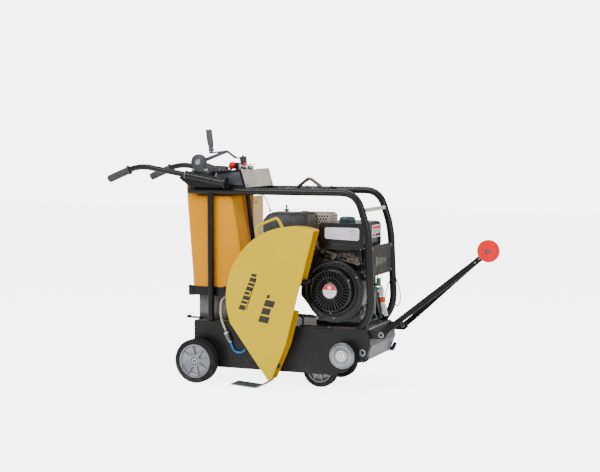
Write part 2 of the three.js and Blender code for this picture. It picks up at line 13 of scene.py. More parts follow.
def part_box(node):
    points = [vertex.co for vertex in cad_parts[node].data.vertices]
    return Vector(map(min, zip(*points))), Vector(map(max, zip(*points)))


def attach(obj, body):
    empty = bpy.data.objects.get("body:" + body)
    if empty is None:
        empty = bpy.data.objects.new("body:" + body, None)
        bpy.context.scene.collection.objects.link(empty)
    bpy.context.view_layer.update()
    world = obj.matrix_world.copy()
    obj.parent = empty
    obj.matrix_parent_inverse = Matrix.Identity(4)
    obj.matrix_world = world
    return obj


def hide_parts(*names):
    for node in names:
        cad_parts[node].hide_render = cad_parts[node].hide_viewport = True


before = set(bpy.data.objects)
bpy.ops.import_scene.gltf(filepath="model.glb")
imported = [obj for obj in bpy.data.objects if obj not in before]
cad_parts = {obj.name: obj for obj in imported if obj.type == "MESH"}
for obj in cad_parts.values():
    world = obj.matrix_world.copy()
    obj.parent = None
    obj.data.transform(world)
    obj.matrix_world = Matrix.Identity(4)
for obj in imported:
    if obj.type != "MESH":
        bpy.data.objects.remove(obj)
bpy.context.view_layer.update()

low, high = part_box("rear_axle")
ORIGIN = Vector(((low.x + high.x) / 2, (low.y + high.y) / 2, 0))
MM = 0.001
AHEAD, BACK = (1, 0, 0), (-1, 0, 0)
LEFT, RIGHT = (0, 1, 0), (0, -1, 0)
UP = (0, 0, 1)


def at(x, y, z):
    """A point in machine millimetres, in the row frame."""
    return ORIGIN + Vector((x, y, z)) * MM


# ------------------------------------------------------------------ camera, light and floor
def add_camera():
    data = bpy.data.cameras.new("camera")
    data.lens = 78.40
    data.sensor_width = 36
    camera = bpy.data.objects.new("camera", data)
    camera.location = (2.2009, -5.5105, 1.1066)
    camera.rotation_euler = (math.radians(90 - 4.25), 0, math.radians(21.94))
    bpy.context.scene.collection.objects.link(camera)
    bpy.context.scene.camera = camera


def add_light(name, place, target, size, power):
    data = bpy.data.lights.new(name, "AREA")
    data.shape = "RECTANGLE"
    data.size, data.size_y = size
    data.energy = power
    light = bpy.data.objects.new(name, data)
    light.location = place
    light.rotation_euler = (Vector(target) - Vector(place)).to_track_quat("-Z", "Y").to_euler()
    bpy.context.scene.collection.objects.link(light)


def add_world():
    """Even white light, with a brighter white behind the object."""
    world = bpy.data.worlds.new("studio")
    world.use_nodes = True
    nodes, links = world.node_tree.nodes, world.node_tree.links
    background = nodes["Background"]
    background.inputs["Color"].default_value = (1.0, 1.0, 1.0, 1)
    level = nodes.new("ShaderNodeMapRange")
    level.inputs["To Min"].default_value = 0.60
    level.inputs["To Max"].default_value = 6.0
    links.new(nodes.new("ShaderNodeLightPath").outputs["Is Camera Ray"], level.inputs["Value"])
    links.new(level.outputs["Result"], background.inputs["Strength"])
    bpy.context.scene.world = world


add_camera()
add_world()
add_light("key", (-1.2, -3.2, 3.4), (0, 0, 0.5), (2.4, 1.6), 120)
add_light("fill", (3.4, -2.0, 1.8), (0.2, 0, 0.5), (1.4, 2.2), 50)
add_light("top", (0.2, 0.6, 3.6), (0, 0, 0.4), (3.0, 2.0), 70)


# ------------------------------------------------------------------ materials
def srgb(r, g, b):
    def linear(c):
        c /= 255
        return c / 12.92 if c <= 0.04045 else ((c + 0.055) / 1.055) ** 2.4
    return (linear(r), linear(g), linear(b), 1.0)


class Shader:
    """A node material whose colour, roughness and bump come from noise in object space."""

    def __init__(self, name, stretch=(1, 1, 1)):
        self.material = bpy.data.materials.new(name)
        self.material.use_nodes = True
        self.nodes = self.material.node_tree.nodes
        self.links = self.material.node_tree.links
        self.bsdf = self.nodes["Principled BSDF"]
        self.place = self.nodes.new("ShaderNodeTexCoord").outputs["Object"]
        mapping = self.nodes.new("ShaderNodeMapping")
        mapping.inputs["Scale"].default_value = stretch
        self.links.new(self.place, mapping.inputs["Vector"])
        self.vector = mapping.outputs["Vector"]

    def noise(self, scale, detail=4.0, rough=0.55):
        node = self.nodes.new("ShaderNodeTexNoise")
        node.inputs["Scale"].default_value = scale
        node.inputs["Detail"].default_value = detail
        node.inputs["Roughness"].default_value = rough
        self.links.new(self.vector, node.inputs["Vector"])
        return node.outputs["Fac"]

    def ramp(self, source, low, high, first, last):
        node = self.nodes.new("ShaderNodeValToRGB")
        node.color_ramp.elements[0].position = low
        node.color_ramp.elements[1].position = high
        node.color_ramp.elements[0].color = first
        node.color_ramp.elements[1].color = last
        self.links.new(source, node.inputs["Fac"])
        return node.outputs["Color"]

    def level(self, source, low, high, first, last):
        node = self.nodes.new("ShaderNodeMapRange")
        for key, value in zip(("From Min", "From Max", "To Min", "To Max"), (low, high, first, last)):
            node.inputs[key].default_value = value
        self.links.new(source, node.inputs["Value"])
        return node.outputs["Result"]

    def mix(self, factor, first, second):
        node = self.nodes.new("ShaderNodeMix")
        node.data_type = "RGBA"
        self.links.new(factor, node.inputs["Factor"])
        self.links.new(first, node.inputs[6])
        if isinstance(second, tuple):
            node.inputs[7].default_value = second
        else:
            self.links.new(second, node.inputs[7])
        return node.outputs[2]

    def times(self, first, second):
        node = self.nodes.new("ShaderNodeMath")
        node.operation = "MULTIPLY"
        self.links.new(first, node.inputs[0])
        self.links.new(second, node.inputs[1])
        return node.outputs["Value"]

    def height(self, low, high):
        """One at the low height, nought at the high one, in metres above the ground."""
        split = self.nodes.new("ShaderNodeSeparateXYZ")
        self.links.new(self.place, split.inputs[0])
        return self.level(split.outputs["Z"], low, high, 1.0, 0.0)

    def use(self, key, source):
        self.links.new(source, self.bsdf.inputs[key])

    def bump(self, source, strength, distance=0.001):
        node = self.nodes.new("ShaderNodeBump")
        node.inputs["Strength"].default_value = strength
        node.inputs["Distance"].default_value = distance
        self.links.new(source, node.inputs["Height"])
        self.use("Normal", node.outputs["Normal"])


def surface(name, base, other, rough, metal, patch, grain, bump, wear, wear_from, dust=None,
            stretch=(1, 1, 1), fixed=()):
    """Two tones in soft patches, uneven gloss, a fine grain, scuffs and, low down, some dust."""
    shader = Shader(name, stretch)
    colour = shader.ramp(shader.noise(patch), 0.35, 0.68, srgb(*base), srgb(*other))
    scuffs = shader.level(shader.noise(patch * 6, 9, 0.7), wear_from, wear_from + 0.05, 0.0, 1.0)
    colour = shader.mix(scuffs, colour, srgb(*wear))
    if dust is not None:
        fog = shader.times(shader.height(0.0, dust[1]), shader.level(shader.noise(40, 6), 0.45, 0.75, 0.0,
                                                                     0.6))
        colour = shader.mix(fog, colour, dust[0])
    shader.use("Base Color", colour)
    shader.use("Roughness", shader.level(shader.noise(patch * 2.3, 5), 0.3, 0.7, *rough))
    shader.bump(shader.noise(grain, 3), bump)
    shader.bsdf.inputs["Metallic"].default_value = metal
    for key, value in fixed:
        shader.bsdf.inputs[key].default_value = value
    return shader.material


LIGHT_DUST = (srgb(96, 93, 88), 0.16)
# Name, two tones, range of roughness, metallic, scale of the patches, scale of the grain, depth of the
# grain, tone of the scuffs, noise level that they start at, and what else surface() takes.
SURFACES = (
    ("frame_paint", (18, 18, 20), (26, 26, 28), (0.24, 0.36), 0.0, 9, 900, 0.05, (60, 60, 62), 0.76,
     {"dust": LIGHT_DUST, "fixed": (("Specular IOR Level", 0.30),)}),
    ("panel_paint", (196, 187, 172), (214, 206, 193), (0.34, 0.46), 0.15, 16, 600, 0.08, (160, 150, 136),
     0.72, {"stretch": (1, 1, 0.2)}),
    ("tank_plastic", (224, 144, 0), (232, 156, 0), (0.40, 0.52), 0.0, 5, 420, 0.10, (255, 176, 20), 0.76,
     {"fixed": (("Specular IOR Level", 0.12),)}),
    ("zinc", (122, 134, 148), (150, 150, 146), (0.22, 0.36), 0.92, 26, 1400, 0.05, (96, 104, 112), 0.72, {}),
    ("chrome", (225, 226, 230), (205, 206, 212), (0.06, 0.16), 1.0, 30, 1600, 0.03, (150, 150, 152), 0.76,
     {}),
    ("crank_rubber", (72, 72, 74), (96, 96, 98), (0.55, 0.72), 0.0, 40, 1300, 0.14, (142, 142, 142), 0.72,
     {}),
    ("grip_rubber", (58, 58, 61), (74, 74, 76), (0.62, 0.78), 0.0, 40, 1300, 0.16, (112, 112, 112), 0.72,
     {}),
    ("tyre_rubber", (20, 20, 22), (30, 30, 32), (0.60, 0.80), 0.0, 34, 1100, 0.18, (60, 60, 60), 0.76,
     {"dust": LIGHT_DUST, "fixed": (("Specular IOR Level", 0.25),)}),
    ("rim_cast", (142, 143, 149), (170, 171, 176), (0.28, 0.42), 0.75, 24, 520, 0.16, (100, 100, 106), 0.70,
     {"dust": LIGHT_DUST}),
    ("red_plastic", (234, 14, 14), (244, 26, 22), (0.34, 0.46), 0.0, 20, 700, 0.06, (250, 80, 72), 0.76,
     {"fixed": (("Specular IOR Level", 0.25),)}),
    ("engine_paint", (13, 13, 14), (22, 21, 22), (0.13, 0.26), 0.0, 12, 500, 0.05, (40, 38, 38), 0.78,
     {"fixed": (("Specular IOR Level", 0.45),)}),
    ("black_plastic", (50, 51, 56), (64, 66, 72), (0.42, 0.58), 0.0, 22, 1000, 0.14, (92, 92, 96), 0.73, {}),
    ("blue_rubber", (26, 98, 176), (40, 124, 204), (0.22, 0.36), 0.0, 40, 700, 0.05, (90, 160, 220), 0.74,
     {}),
    ("clear_pvc", (218, 212, 202), (234, 230, 222), (0.16, 0.30), 0.0, 40, 500, 0.05, (190, 178, 160), 0.70,
     {"fixed": (("Transmission Weight", 0.35), ("IOR", 1.45))}),
    ("console_blue", (52, 54, 66), (66, 68, 80), (0.30, 0.42), 0.1, 10, 700, 0.05, (96, 98, 108), 0.75, {}),
    ("front_grey", (104, 99, 105), (126, 120, 125), (0.34, 0.46), 0.2, 12, 500, 0.05, (78, 74, 78), 0.72,
     {"fixed": (("Specular IOR Level", 0.25),)}),
    ("plate_paint", (34, 31, 26), (50, 46, 38), (0.42, 0.56), 0.0, 14, 700, 0.06, (76, 70, 60), 0.74,
     {"fixed": (("Specular IOR Level", 0.2),)}),
    ("cast_grey", (100, 98, 97), (124, 121, 119), (0.34, 0.52), 0.6, 30, 500, 0.2, (92, 90, 88), 0.68, {}),
    ("worn_steel", (78, 72, 66), (116, 107, 98), (0.22, 0.36), 0.75, 30, 700, 0.10, (52, 46, 42), 0.66, {}),
    ("dull_metal", (112, 106, 98), (136, 129, 119), (0.36, 0.50), 0.25, 20, 700, 0.08, (84, 78, 70), 0.72,
     {"fixed": (("Specular IOR Level", 0.3),)}),
    ("brown_iron", (86, 62, 38), (116, 84, 50), (0.45, 0.62), 0.3, 22, 400, 0.2, (60, 46, 34), 0.66, {}),
    ("label_pale", (214, 206, 222), (232, 226, 236), (0.16, 0.26), 0.0, 18, 900, 0.02, (196, 190, 214), 0.66,
     {"stretch": (1, 1, 3)}),
    ("label_white", (232, 230, 230), (244, 242, 240), (0.24, 0.34), 0.0, 30, 900, 0.03, (206, 200, 198),
     0.72, {}),
    ("label_red", (206, 36, 44), (222, 50, 56), (0.22, 0.32), 0.0, 30, 900, 0.03, (232, 90, 92), 0.74, {}),
    ("print_black", (30, 28, 22), (42, 40, 32), (0.34, 0.46), 0.0, 60, 900, 0.03, (90, 80, 40), 0.73, {}),
    ("print_pale", (172, 170, 178), (198, 196, 204), (0.34, 0.46), 0.0, 60, 900, 0.03, (96, 92, 92), 0.62,
     {}),
    ("print_dim", (96, 92, 86), (122, 117, 108), (0.42, 0.54), 0.0, 60, 900, 0.03, (60, 56, 50), 0.60,
     {"fixed": (("Specular IOR Level", 0.2),)}),
    ("teal_cap", (44, 70, 78), (66, 98, 106), (0.20, 0.32), 0.1, 30, 700, 0.06, (110, 140, 146), 0.72, {}),
    ("green_part", (58, 124, 74), (92, 158, 104), (0.3, 0.42), 0.0, 40, 700, 0.05, (150, 190, 150), 0.7, {}),
    ("orange_part", (226, 92, 34), (238, 112, 50), (0.3, 0.42), 0.0, 40, 700, 0.05, (246, 150, 96), 0.72,
     {}),
    ("foot_zinc", (126, 146, 142), (158, 172, 166), (0.30, 0.46), 0.7, 18, 700, 0.08, (98, 112, 108), 0.70,
     {}),
    ("dark_hole", (10, 10, 11), (16, 16, 17), (0.5, 0.65), 0.0, 20, 700, 0.08, (24, 24, 24), 0.75, {}),
)
M = {name: surface(name, *values, **more) for name, *values, more in SURFACES}


def shield_material():
    """Cream paint high up that turns grey lower down: the change with height is painted light, a warm
    painted reflection on the upper part of the plate.
    """
    shader = Shader("shield_paint")
    tone = shader.ramp(shader.noise(9, 5), 0.3, 0.7, srgb(240, 196, 108), srgb(246, 214, 146))
    lower_grey = shader.ramp(shader.noise(30, 6), 0.3, 0.7, srgb(150, 148, 146), srgb(182, 180, 176))
    # Grey lower down and cream higher up, by height with some noise: painted light, a warm painted
    # reflection on the upper plate.
    edge = shader.times(shader.height(0.40, 0.74), shader.level(shader.noise(12, 4), 0.2, 0.6, 0.8, 1.0))
    shader.use("Base Color", shader.mix(edge, tone, lower_grey))
    shader.use("Roughness", shader.level(shader.noise(25, 5), 0.3, 0.7, 0.28, 0.44))
    shader.bump(shader.noise(500, 3), 0.06)
    shader.bsdf.inputs["Metallic"].default_value = 0.35
    return shader.material


def guard_material():
    """Bright yellow paint outside, and a darker yellow on the side next to the machine: painted shade, as
    that inner face is out of the light.
    """
    shader = Shader("guard_paint")
    bright = shader.ramp(shader.noise(7), 0.35, 0.68, srgb(216, 184, 0), srgb(222, 190, 0))
    shaded_yellow = shader.ramp(shader.noise(9), 0.35, 0.68, srgb(204, 152, 0), srgb(212, 160, 2))
    split = shader.nodes.new("ShaderNodeSeparateXYZ")
    shader.links.new(shader.place, split.inputs[0])
    # Object Y picks the inner face next to the machine and gives it the darker yellow: painted shade.
    colour = shader.mix(shader.level(split.outputs["Y"], -0.196, -0.190, 0.0, 1.0), bright, shaded_yellow)
    scuffs = shader.level(shader.noise(42, 9, 0.7), 0.77, 0.82, 0.0, 1.0)
    shader.use("Base Color", shader.mix(scuffs, colour, srgb(222, 170, 10)))
    shader.use("Roughness", shader.level(shader.noise(16, 5), 0.3, 0.7, 0.30, 0.42))
    shader.bump(shader.noise(800, 3), 0.04)
    shader.bsdf.inputs["Specular IOR Level"].default_value = 0.12
    return shader.material


def floor_material():
    shader = Shader("floor_paint")
    shader.use("Base Color", shader.ramp(shader.noise(1.4, 3), 0.3, 0.7, srgb(250, 250, 251),
                                         srgb(253, 253, 254)))
    shader.use("Roughness", shader.level(shader.noise(6, 4), 0.3, 0.7, 0.55, 0.68))
    shader.bump(shader.noise(120, 3), 0.02)
    shader.bsdf.inputs["Emission Color"].default_value = (1.0, 1.0, 1.0, 1)
    seen = shader.nodes.new("ShaderNodeLightPath").outputs["Is Camera Ray"]
    shader.use("Emission Strength", shader.level(seen, 0.0, 1.0, 0.3, 4.8))
    return shader.material


def deck_material():
    """Black paint, with a pale patchy tone on the flat top of the deck: a painted reflection of the bright
    surroundings.
    """
    shader = Shader("deck_paint")
    paint = shader.ramp(shader.noise(9), 0.35, 0.68, srgb(20, 20, 22), srgb(30, 29, 31))
    split = shader.nodes.new("ShaderNodeSeparateXYZ")
    facing = shader.nodes.new("ShaderNodeNewGeometry").outputs["Normal"]
    shader.links.new(facing, split.inputs[0])
    # Upward faces get a pale, patchy tone: a painted reflection of the bright surroundings.
    up = shader.level(split.outputs["Z"], 0.86, 0.98, 0.0, 0.55)
    painted_reflection = shader.times(up, shader.level(shader.noise(7, 6), 0.30, 0.62, 0.25, 1.0))
    colour = shader.mix(painted_reflection, paint, srgb(150, 138, 126))
    fog = shader.times(shader.height(0.05, 0.20), shader.level(shader.noise(40, 6), 0.5, 0.8, 0.0, 0.25))
    shader.use("Base Color", shader.mix(fog, colour, srgb(96, 93, 88)))
    shader.use("Roughness", shader.level(shader.noise(20, 5), 0.3, 0.7, 0.26, 0.42))
    shader.bump(shader.noise(900, 3), 0.05)
    shader.bsdf.inputs["Specular IOR Level"].default_value = 0.3
    return shader.material


M["shield"] = shield_material()
M["guard_paint"] = guard_material()
M["deck"] = deck_material()


# ------------------------------------------------------------------ shapes
# The six sides of a box whose eight corners are listed in pairs.
BOX_FACES = [[0, 1, 3, 2], [4, 6, 7, 5], [0, 2, 6, 4], [1, 5, 7, 3], [0, 4, 5, 1], [2, 3, 7, 6]]


class Build:
    """Gathers faces in machine millimetres, and makes them one piece."""

    def __init__(self):
        self.vertices = []
        self.faces = []

    def add(self, vertices, faces):
        start = len(self.vertices)
        self.vertices += [Vector(v) for v in vertices]
        self.faces += [[start + i for i in face] for face in faces]
        return self

    def bars(self, rings, closed=False, caps=True):
        """Skins a list of rings that have the same number of points."""
        count = len(rings[0])
        faces = []
        last = len(rings) if closed else len(rings) - 1
        for r in range(last):
            a, b = r * count, ((r + 1) % len(rings)) * count
            faces += [[a + i, a + (i + 1) % count, b + (i + 1) % count, b + i] for i in range(count)]
        if caps and not closed:
            faces.append(list(range(count))[::-1])
            faces.append([(len(rings) - 1) * count + i for i in range(count)])
        return self.add([p for ring in rings for p in ring], faces)

    def tube(self, path, radius, sides=20, closed=False):
        """A round bar along a path. radius is a number, or one number for each point."""
        points = [Vector(p) for p in path]
        count = len(points)
        size = radius if isinstance(radius, (list, tuple)) else [radius] * count
        rings = []
        side = None
        for i, p in enumerate(points):
            before = points[i - 1] if i or closed else p
            after = points[(i + 1) % count] if i < count - 1 or closed else p
            along = (after - before).normalized()
            if side is None:
                side = along.orthogonal().normalized()
            side = (side - along * side.dot(along)).normalized()
            up = along.cross(side)
            rings.append([p + (side * math.cos(t) + up * math.sin(t)) * size[i]
                          for t in (2 * math.pi * k / sides for k in range(sides))])
        return self.bars(rings, closed)

    def turned(self, profile, centre, axis=LEFT, sides=48, ripple=None):
        """Turns a profile of (radius, distance along the axis). ripple(angle, radius) changes the radius."""
        along = Vector(axis).normalized()
        side = Vector(AHEAD) if abs(along.x) < 0.9 else Vector(UP)
        side = (side - along * side.dot(along)).normalized()
        up = along.cross(side)
        doubled = profile[0] == profile[-1]
        closed = doubled or min(profile[0][0], profile[-1][0]) > 0.5
        rings = []
        for radius, distance in profile[:-1] if doubled else profile:
            around = []
            for k in range(sides):
                t = 2 * math.pi * k / sides
                r = max(ripple(t, radius, distance) if ripple else radius, 0.01)
                out = side * math.cos(t) + up * math.sin(t)
                around.append(Vector(centre) + along * distance + out * r)
            rings.append(around)
        return self.bars(rings, closed)

    def prism(self, outline, y0, y1, plane="xz", bevel=0.0, segments=2):
        """An outline drawn in a plane and run along the third axis, with eased edges."""
        order = {"xz": lambda u, v, w: (u, w, v), "yz": lambda u, v, w: (w, u, v), "xy": lambda u, v,
                 w: (u, v, w)}[plane]
        count = len(outline)
        vertices = [order(u, v, w) for w in (y0, y1) for u, v in outline]
        faces = [list(range(count)), list(range(2 * count - 1, count - 1, -1))]
        faces += [[(i + 1) % count, i, count + i, count + (i + 1) % count] for i in range(count)]
        return self.eased(vertices, faces, bevel, segments)

    def block(self, x0, x1, y0, y1, z0, z1, bevel=1.0, segments=2):
        return self.prism([(x0, z0), (x1, z0), (x1, z1), (x0, z1)], y0, y1, "xz", bevel, segments)

    def eased(self, vertices, faces, bevel, segments):
        mesh = bmesh.new()
        made = [mesh.verts.new(v) for v in vertices]
        for face in faces:
            mesh.faces.new([made[i] for i in face])
        bmesh.ops.recalc_face_normals(mesh, faces=mesh.faces)
        if bevel > 0:
            sharp = [e for e in mesh.edges if e.calc_face_angle(0) > math.radians(28)]
            bmesh.ops.bevel(mesh, geom=sharp, offset=bevel, segments=segments, profile=0.5, affect="EDGES",
                            clamp_overlap=True)
        mesh.verts.index_update()
        self.add([v.co.copy() for v in mesh.verts], [[v.index for v in f.verts] for f in mesh.faces])
        mesh.free()
        return self

    def bolt(self, centre, axis, radius, height, washer=True):
        """A hexagon head on a washer, with a domed top."""
        if washer:
            self.turned([(0, 0), (radius * 1.75, 0), (radius * 1.8, 0.6), (radius * 1.7, 1.4), (0, 1.4)],
                        centre, axis, 28)
        base = Vector(centre) + Vector(axis).normalized() * (1.4 if washer else 0)
        self.turned([(0, 0), (radius, 0), (radius, height * 0.86), (radius * 0.86, height), (0, height)],
                    base, axis, 6)
        return self

    def piece(self, name, material, slot, body="frame", stands_for=(), smooth=38):
        mesh = bpy.data.meshes.new(name)
        mesh.from_pydata([at(*v) for v in self.vertices], [], self.faces)
        shape = bmesh.new()
        shape.from_mesh(mesh)
        bmesh.ops.recalc_face_normals(shape, faces=shape.faces)
        shape.to_mesh(mesh)
        shape.free()
        for polygon in mesh.polygons:
            polygon.use_smooth = True
        mesh.set_sharp_from_angle(angle=math.radians(smooth))
        mesh.materials.append(M[material])
        made = bpy.data.objects.new(name, mesh)
        bpy.context.scene.collection.objects.link(made)
        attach(made, body)
        if stands_for:
            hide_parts(*stands_for)
        return made


def ring(inner, outer, thick):
    """The profile of a plain ring."""
    return [(inner, 0), (outer, 0), (outer, thick), (inner, thick)]


def plug(radius, thick):
    """The profile of a plain disc."""
    return ring(0, radius, thick)


def spoke(t):
    """Directions along and across a spoke of a wheel that faces sideways."""
    return Vector((math.cos(t), 0, math.sin(t))), Vector((-math.sin(t), 0, math.cos(t)))


def eased_path(points, steps=10):
    """Straight runs with eased corners. Each corner is (x, y, z, length of the easing)."""
    at_point = [Vector(p[:3]) for p in points]
    path = [at_point[0]]
    for i in range(1, len(points) - 1):
        ease = points[i][3]
        enter = at_point[i] + (at_point[i - 1] - at_point[i]).normalized() * ease
        leave = at_point[i] + (at_point[i + 1] - at_point[i]).normalized() * ease
        for k in range(steps + 1):
            t = k / steps
            path.append(enter * (1 - t) ** 2 + at_point[i] * 2 * t * (1 - t) + leave * t * t)
    path.append(at_point[-1])
    return path


def bead(build, centre, axis, radius, thick=2.2, waves=40):
    """A weld bead: a ring of small overlapping ripples."""
    along = Vector(axis).normalized()
    side = along.orthogonal().normalized()
    up = along.cross(side)
    path = []
    size = []
    for k in range(waves * 3):
        t = 2 * math.pi * k / (waves * 3)
        path.append(Vector(centre) + (side * math.cos(t) + up * math.sin(t)) * radius)
        size.append(thick * (1 + 0.16 * math.sin(waves * t)))
    build.tube(path, size, 8, closed=True)


# ------------------------------------------------------------------ the CAD nodes that stay
def dress(node, material, bevel=0.0, segments=3, smooth=35):
    """Gives a CAD node its material, eased edges and smooth shading."""
    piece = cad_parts[node]
    piece.data.materials.clear()
    piece.data.materials.append(M[material])
    for polygon in piece.data.polygons:
        polygon.use_smooth = True
    weld = piece.modifiers.new("weld", "WELD")
    weld.merge_threshold = 2e-5
    if bevel:
        ease = piece.modifiers.new("ease", "BEVEL")
        ease.width = bevel * MM
        ease.segments = segments
        ease.limit_method = "ANGLE"
        ease.angle_limit = math.radians(smooth)
        ease.harden_normals = False
    normals = piece.modifiers.new("normals", "WEIGHTED_NORMAL")
    normals.keep_sharp = False
    normals.weight = 100
    return piece


KEPT = {
    "chassis": ("deck", 1.2), "cross_bar": ("panel_paint", 1.0), "front_plate": ("plate_paint", 0.6),
    "lifting_bracket": ("frame_paint", 0.8), "console": ("frame_paint", 1.2),
    "console_front_panel": ("panel_paint", 1.0),
    "handle_socket_right": ("frame_paint", 0.8), "handle_socket_left": ("frame_paint", 0.8),
    "throttle_base": ("black_plastic", 1.2), "throttle_lever": ("black_plastic", 1.5),
    "crank_arm": ("black_plastic", 1.4),
    "depth_screw": ("zinc", 0.5), "screw_jacket": ("frame_paint", 0.5), "stop_button": ("red_plastic", 1.5),
    "water_valve_lever": ("red_plastic", 1.0), "tank_cap": ("black_plastic", 1.5),
    "tank_tray": ("frame_paint", 1.2),
    "heat_shield": ("shield", 0.5), "quick_connector": ("zinc", 1.0), "rear_axle": ("zinc", 1.0),
    "swing_frame": ("frame_paint", 1.0), "screw_nut": ("zinc", 1.0), "brake_pedal": ("frame_paint", 1.0),
    "spindle": ("zinc", 0.8), "outer_flange": ("zinc", 0.8), "engine_pulley": ("zinc", 0.8),
    "drive_belt": ("tyre_rubber", 1.0),
    "belt_guard": ("frame_paint", 2.5), "blade_guard": ("guard_paint", 1.0),
    "foot_plate": ("foot_zinc", 0.8),
    "guard_pivot_bolt": ("zinc", 0.8), "engine_block": ("engine_paint", 4.0),
    "fan_shroud": ("engine_paint", 5.0),
    "recoil_cover": ("engine_paint", 1.5), "recoil_grip": ("black_plastic", 2.0),
    "fuel_tank": ("engine_paint", 6.0),
    "fuel_cap": ("teal_cap", 1.5), "air_cleaner": ("black_plastic", 4.0), "muffler": ("panel_paint", 3.0),
    "throttle_cable": ("black_plastic", 0.0), "guide_arm": ("frame_paint", 1.0),
    "water_tank": ("tank_plastic", 0.0), "side_frame_right": ("frame_paint", 0.0),
    "side_frame_left": ("frame_paint", 0.0),
    "handlebar_right": ("frame_paint", 0.0), "handlebar_left": ("frame_paint", 0.0),
    "grip_right": ("grip_rubber", 1.0),
    "grip_left": ("grip_rubber", 1.0), "crank_grip": ("grip_rubber", 0.0), "supply_hose": ("clear_pvc", 0.0),
    "blue_hose": ("blue_rubber", 0.0), "rear_right_rim": ("rim_cast", 0.0),
    "rear_left_rim": ("rim_cast", 0.0),
    "front_right_rim": ("rim_cast", 0.0), "front_left_rim": ("rim_cast", 0.0),
    "rear_right_tyre": ("tyre_rubber", 0.0),
    "rear_left_tyre": ("tyre_rubber", 0.0), "front_right_tyre": ("tyre_rubber", 0.0),
    "front_left_tyre": ("tyre_rubber", 0.0), "guide_wheel": ("red_plastic", 2.0),
}
for node, (material, bevel) in KEPT.items():
    dress(node, material, bevel)

# The rotomoulded tank has large soft corners.
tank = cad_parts["water_tank"]
blow = tank.modifiers.new("mould", "REMESH")
blow.mode = "VOXEL"
blow.voxel_size = 0.0035
blow.use_smooth_shade = True
soften = tank.modifiers.new("soften", "SMOOTH")
soften.factor = 0.5
soften.iterations = 26

# ------------------------------------------------------------------ tube frame and handlebars
NEAR, FAR = -1, 1
SIDES = ((NEAR, "right"), (FAR, "left"))


def side_frame(side, name):
    y = 160 * side
    build = Build()
    build.tube(eased_path([(-68, y, 872), (742, y, 872, 70), (797, y, 705, 60), (814, y, 345, 60),
                           (765, y, 279.5)], 14),
               16, 28)
    build.tube([(40, y, 866), (40, y, 277)], 15, 28)
    bead(build, (40, y, 856.5), UP, 15.4)
    bead(build, (40, y, 278.2), UP, 15.6)
    bead(build, (766.5, y, 279.4), (0.12, 0, 1), 17.0, 2.6)
    build.turned([(0, -3), (12, -3), (15, -1.5), (15.4, 0), (0, 0)], (-68, y, 872), AHEAD, 28)
    build.piece(f"frame_tube_{name}", "frame_paint", "frame_paint", "frame", [f"side_frame_{name}"])


def handlebar(side, name):
    y = 205 * side
    body = f"{name}_handlebar"
    Build().tube(eased_path([(122, y, 912.1), (-302, y, 985.5, 62), (-448, y, 925.4)], 18), 13, 28).piece(
        f"bar_{name}", "frame_paint", "frame_paint", body, [f"handlebar_{name}"])
    build = Build()
    start, along = Vector((-302, y, 985.5)), Vector((-0.9247, 0, -0.3807))

    def ribs(angle, radius, distance):
        return radius - (0.9 if radius > 16 and math.cos(26 * angle) < 0 and 66 < distance < 164 else 0)

    def lobes(angle, radius, distance):
        return radius - 2.0 * (0.5 - 0.5 * math.cos(6 * angle)) if radius > 20 else radius
    rings = [(13.5, 62), (16.6, 62.5), (17.3, 65), (17.4, 67)]
    for k in range(12):
        d = 68 + 8 * k
        rings += [(17.5, d), (17.5, d + 5.2), (16.5, d + 5.9), (16.5, d + 7.0)]
    rings += [(17.5, 166), (17.4, 170), (15.6, 172.4), (0, 173)]
    build.turned(rings, start, along, 104, ribs)
    build.turned([(13.3, 54), (21.5, 54.4), (22.8, 56), (22.8, 60), (21, 62.5), (13.3, 63)], start, along,
                 60, lobes)
    build.piece(f"ribbed_grip_{name}", "grip_rubber", "grip_rubber", body, [f"grip_{name}"], smooth=30)


def handle_socket_details(side, name):
    y = 205 * side
    along = Vector((-0.9853, 0, 0.1705))
    build = Build()
    bead(build, (-61, y, 943.8), along, 19.2, 1.6)
    bead(build, (131, y, 910.5), along, 20, 2.0)
    for x in (-30, 88):
        z = 944 - 0.173 * (x + 62)
        build.bolt((x, y, z + 18.2), (0.17, 0, 0.985), 6.5, 6)
        build.turned([(0, 0), (4, 0), (4, 16), (0, 17)], (x, y, z + 20), (0.17, 0, 0.985), 16)
    build.piece(f"socket_bolts_{name}", "zinc", "zinc")
    rings = Build()
    for d in (6, 40, 74):
        rings.turned([(19, 0), (20.2, 0.6), (20.2, 5.4), (19, 6)], Vector((140, y, 909)) + along * (d + 60),
                     along, 32)
    rings.piece(f"socket_rings_{name}", "frame_paint", "frame_paint")


for side, name in SIDES:
    side_frame(side, name)
    handlebar(side, name)
    handle_socket_details(side, name)

welds = Build()
for y in (-143.2, 143.2):
    bead(welds, (770, y, 795), LEFT, 9.2, 1.6)
for y in (-143.4, 143.4):
    for z in (508, 520, 532, 604, 616, 630):
        welds.block(801, 806, y - 2.4, y + 2.4, z - 4.5, z + 4.5, 1.6)
welds.piece("frame_welds", "frame_paint", "frame_paint")

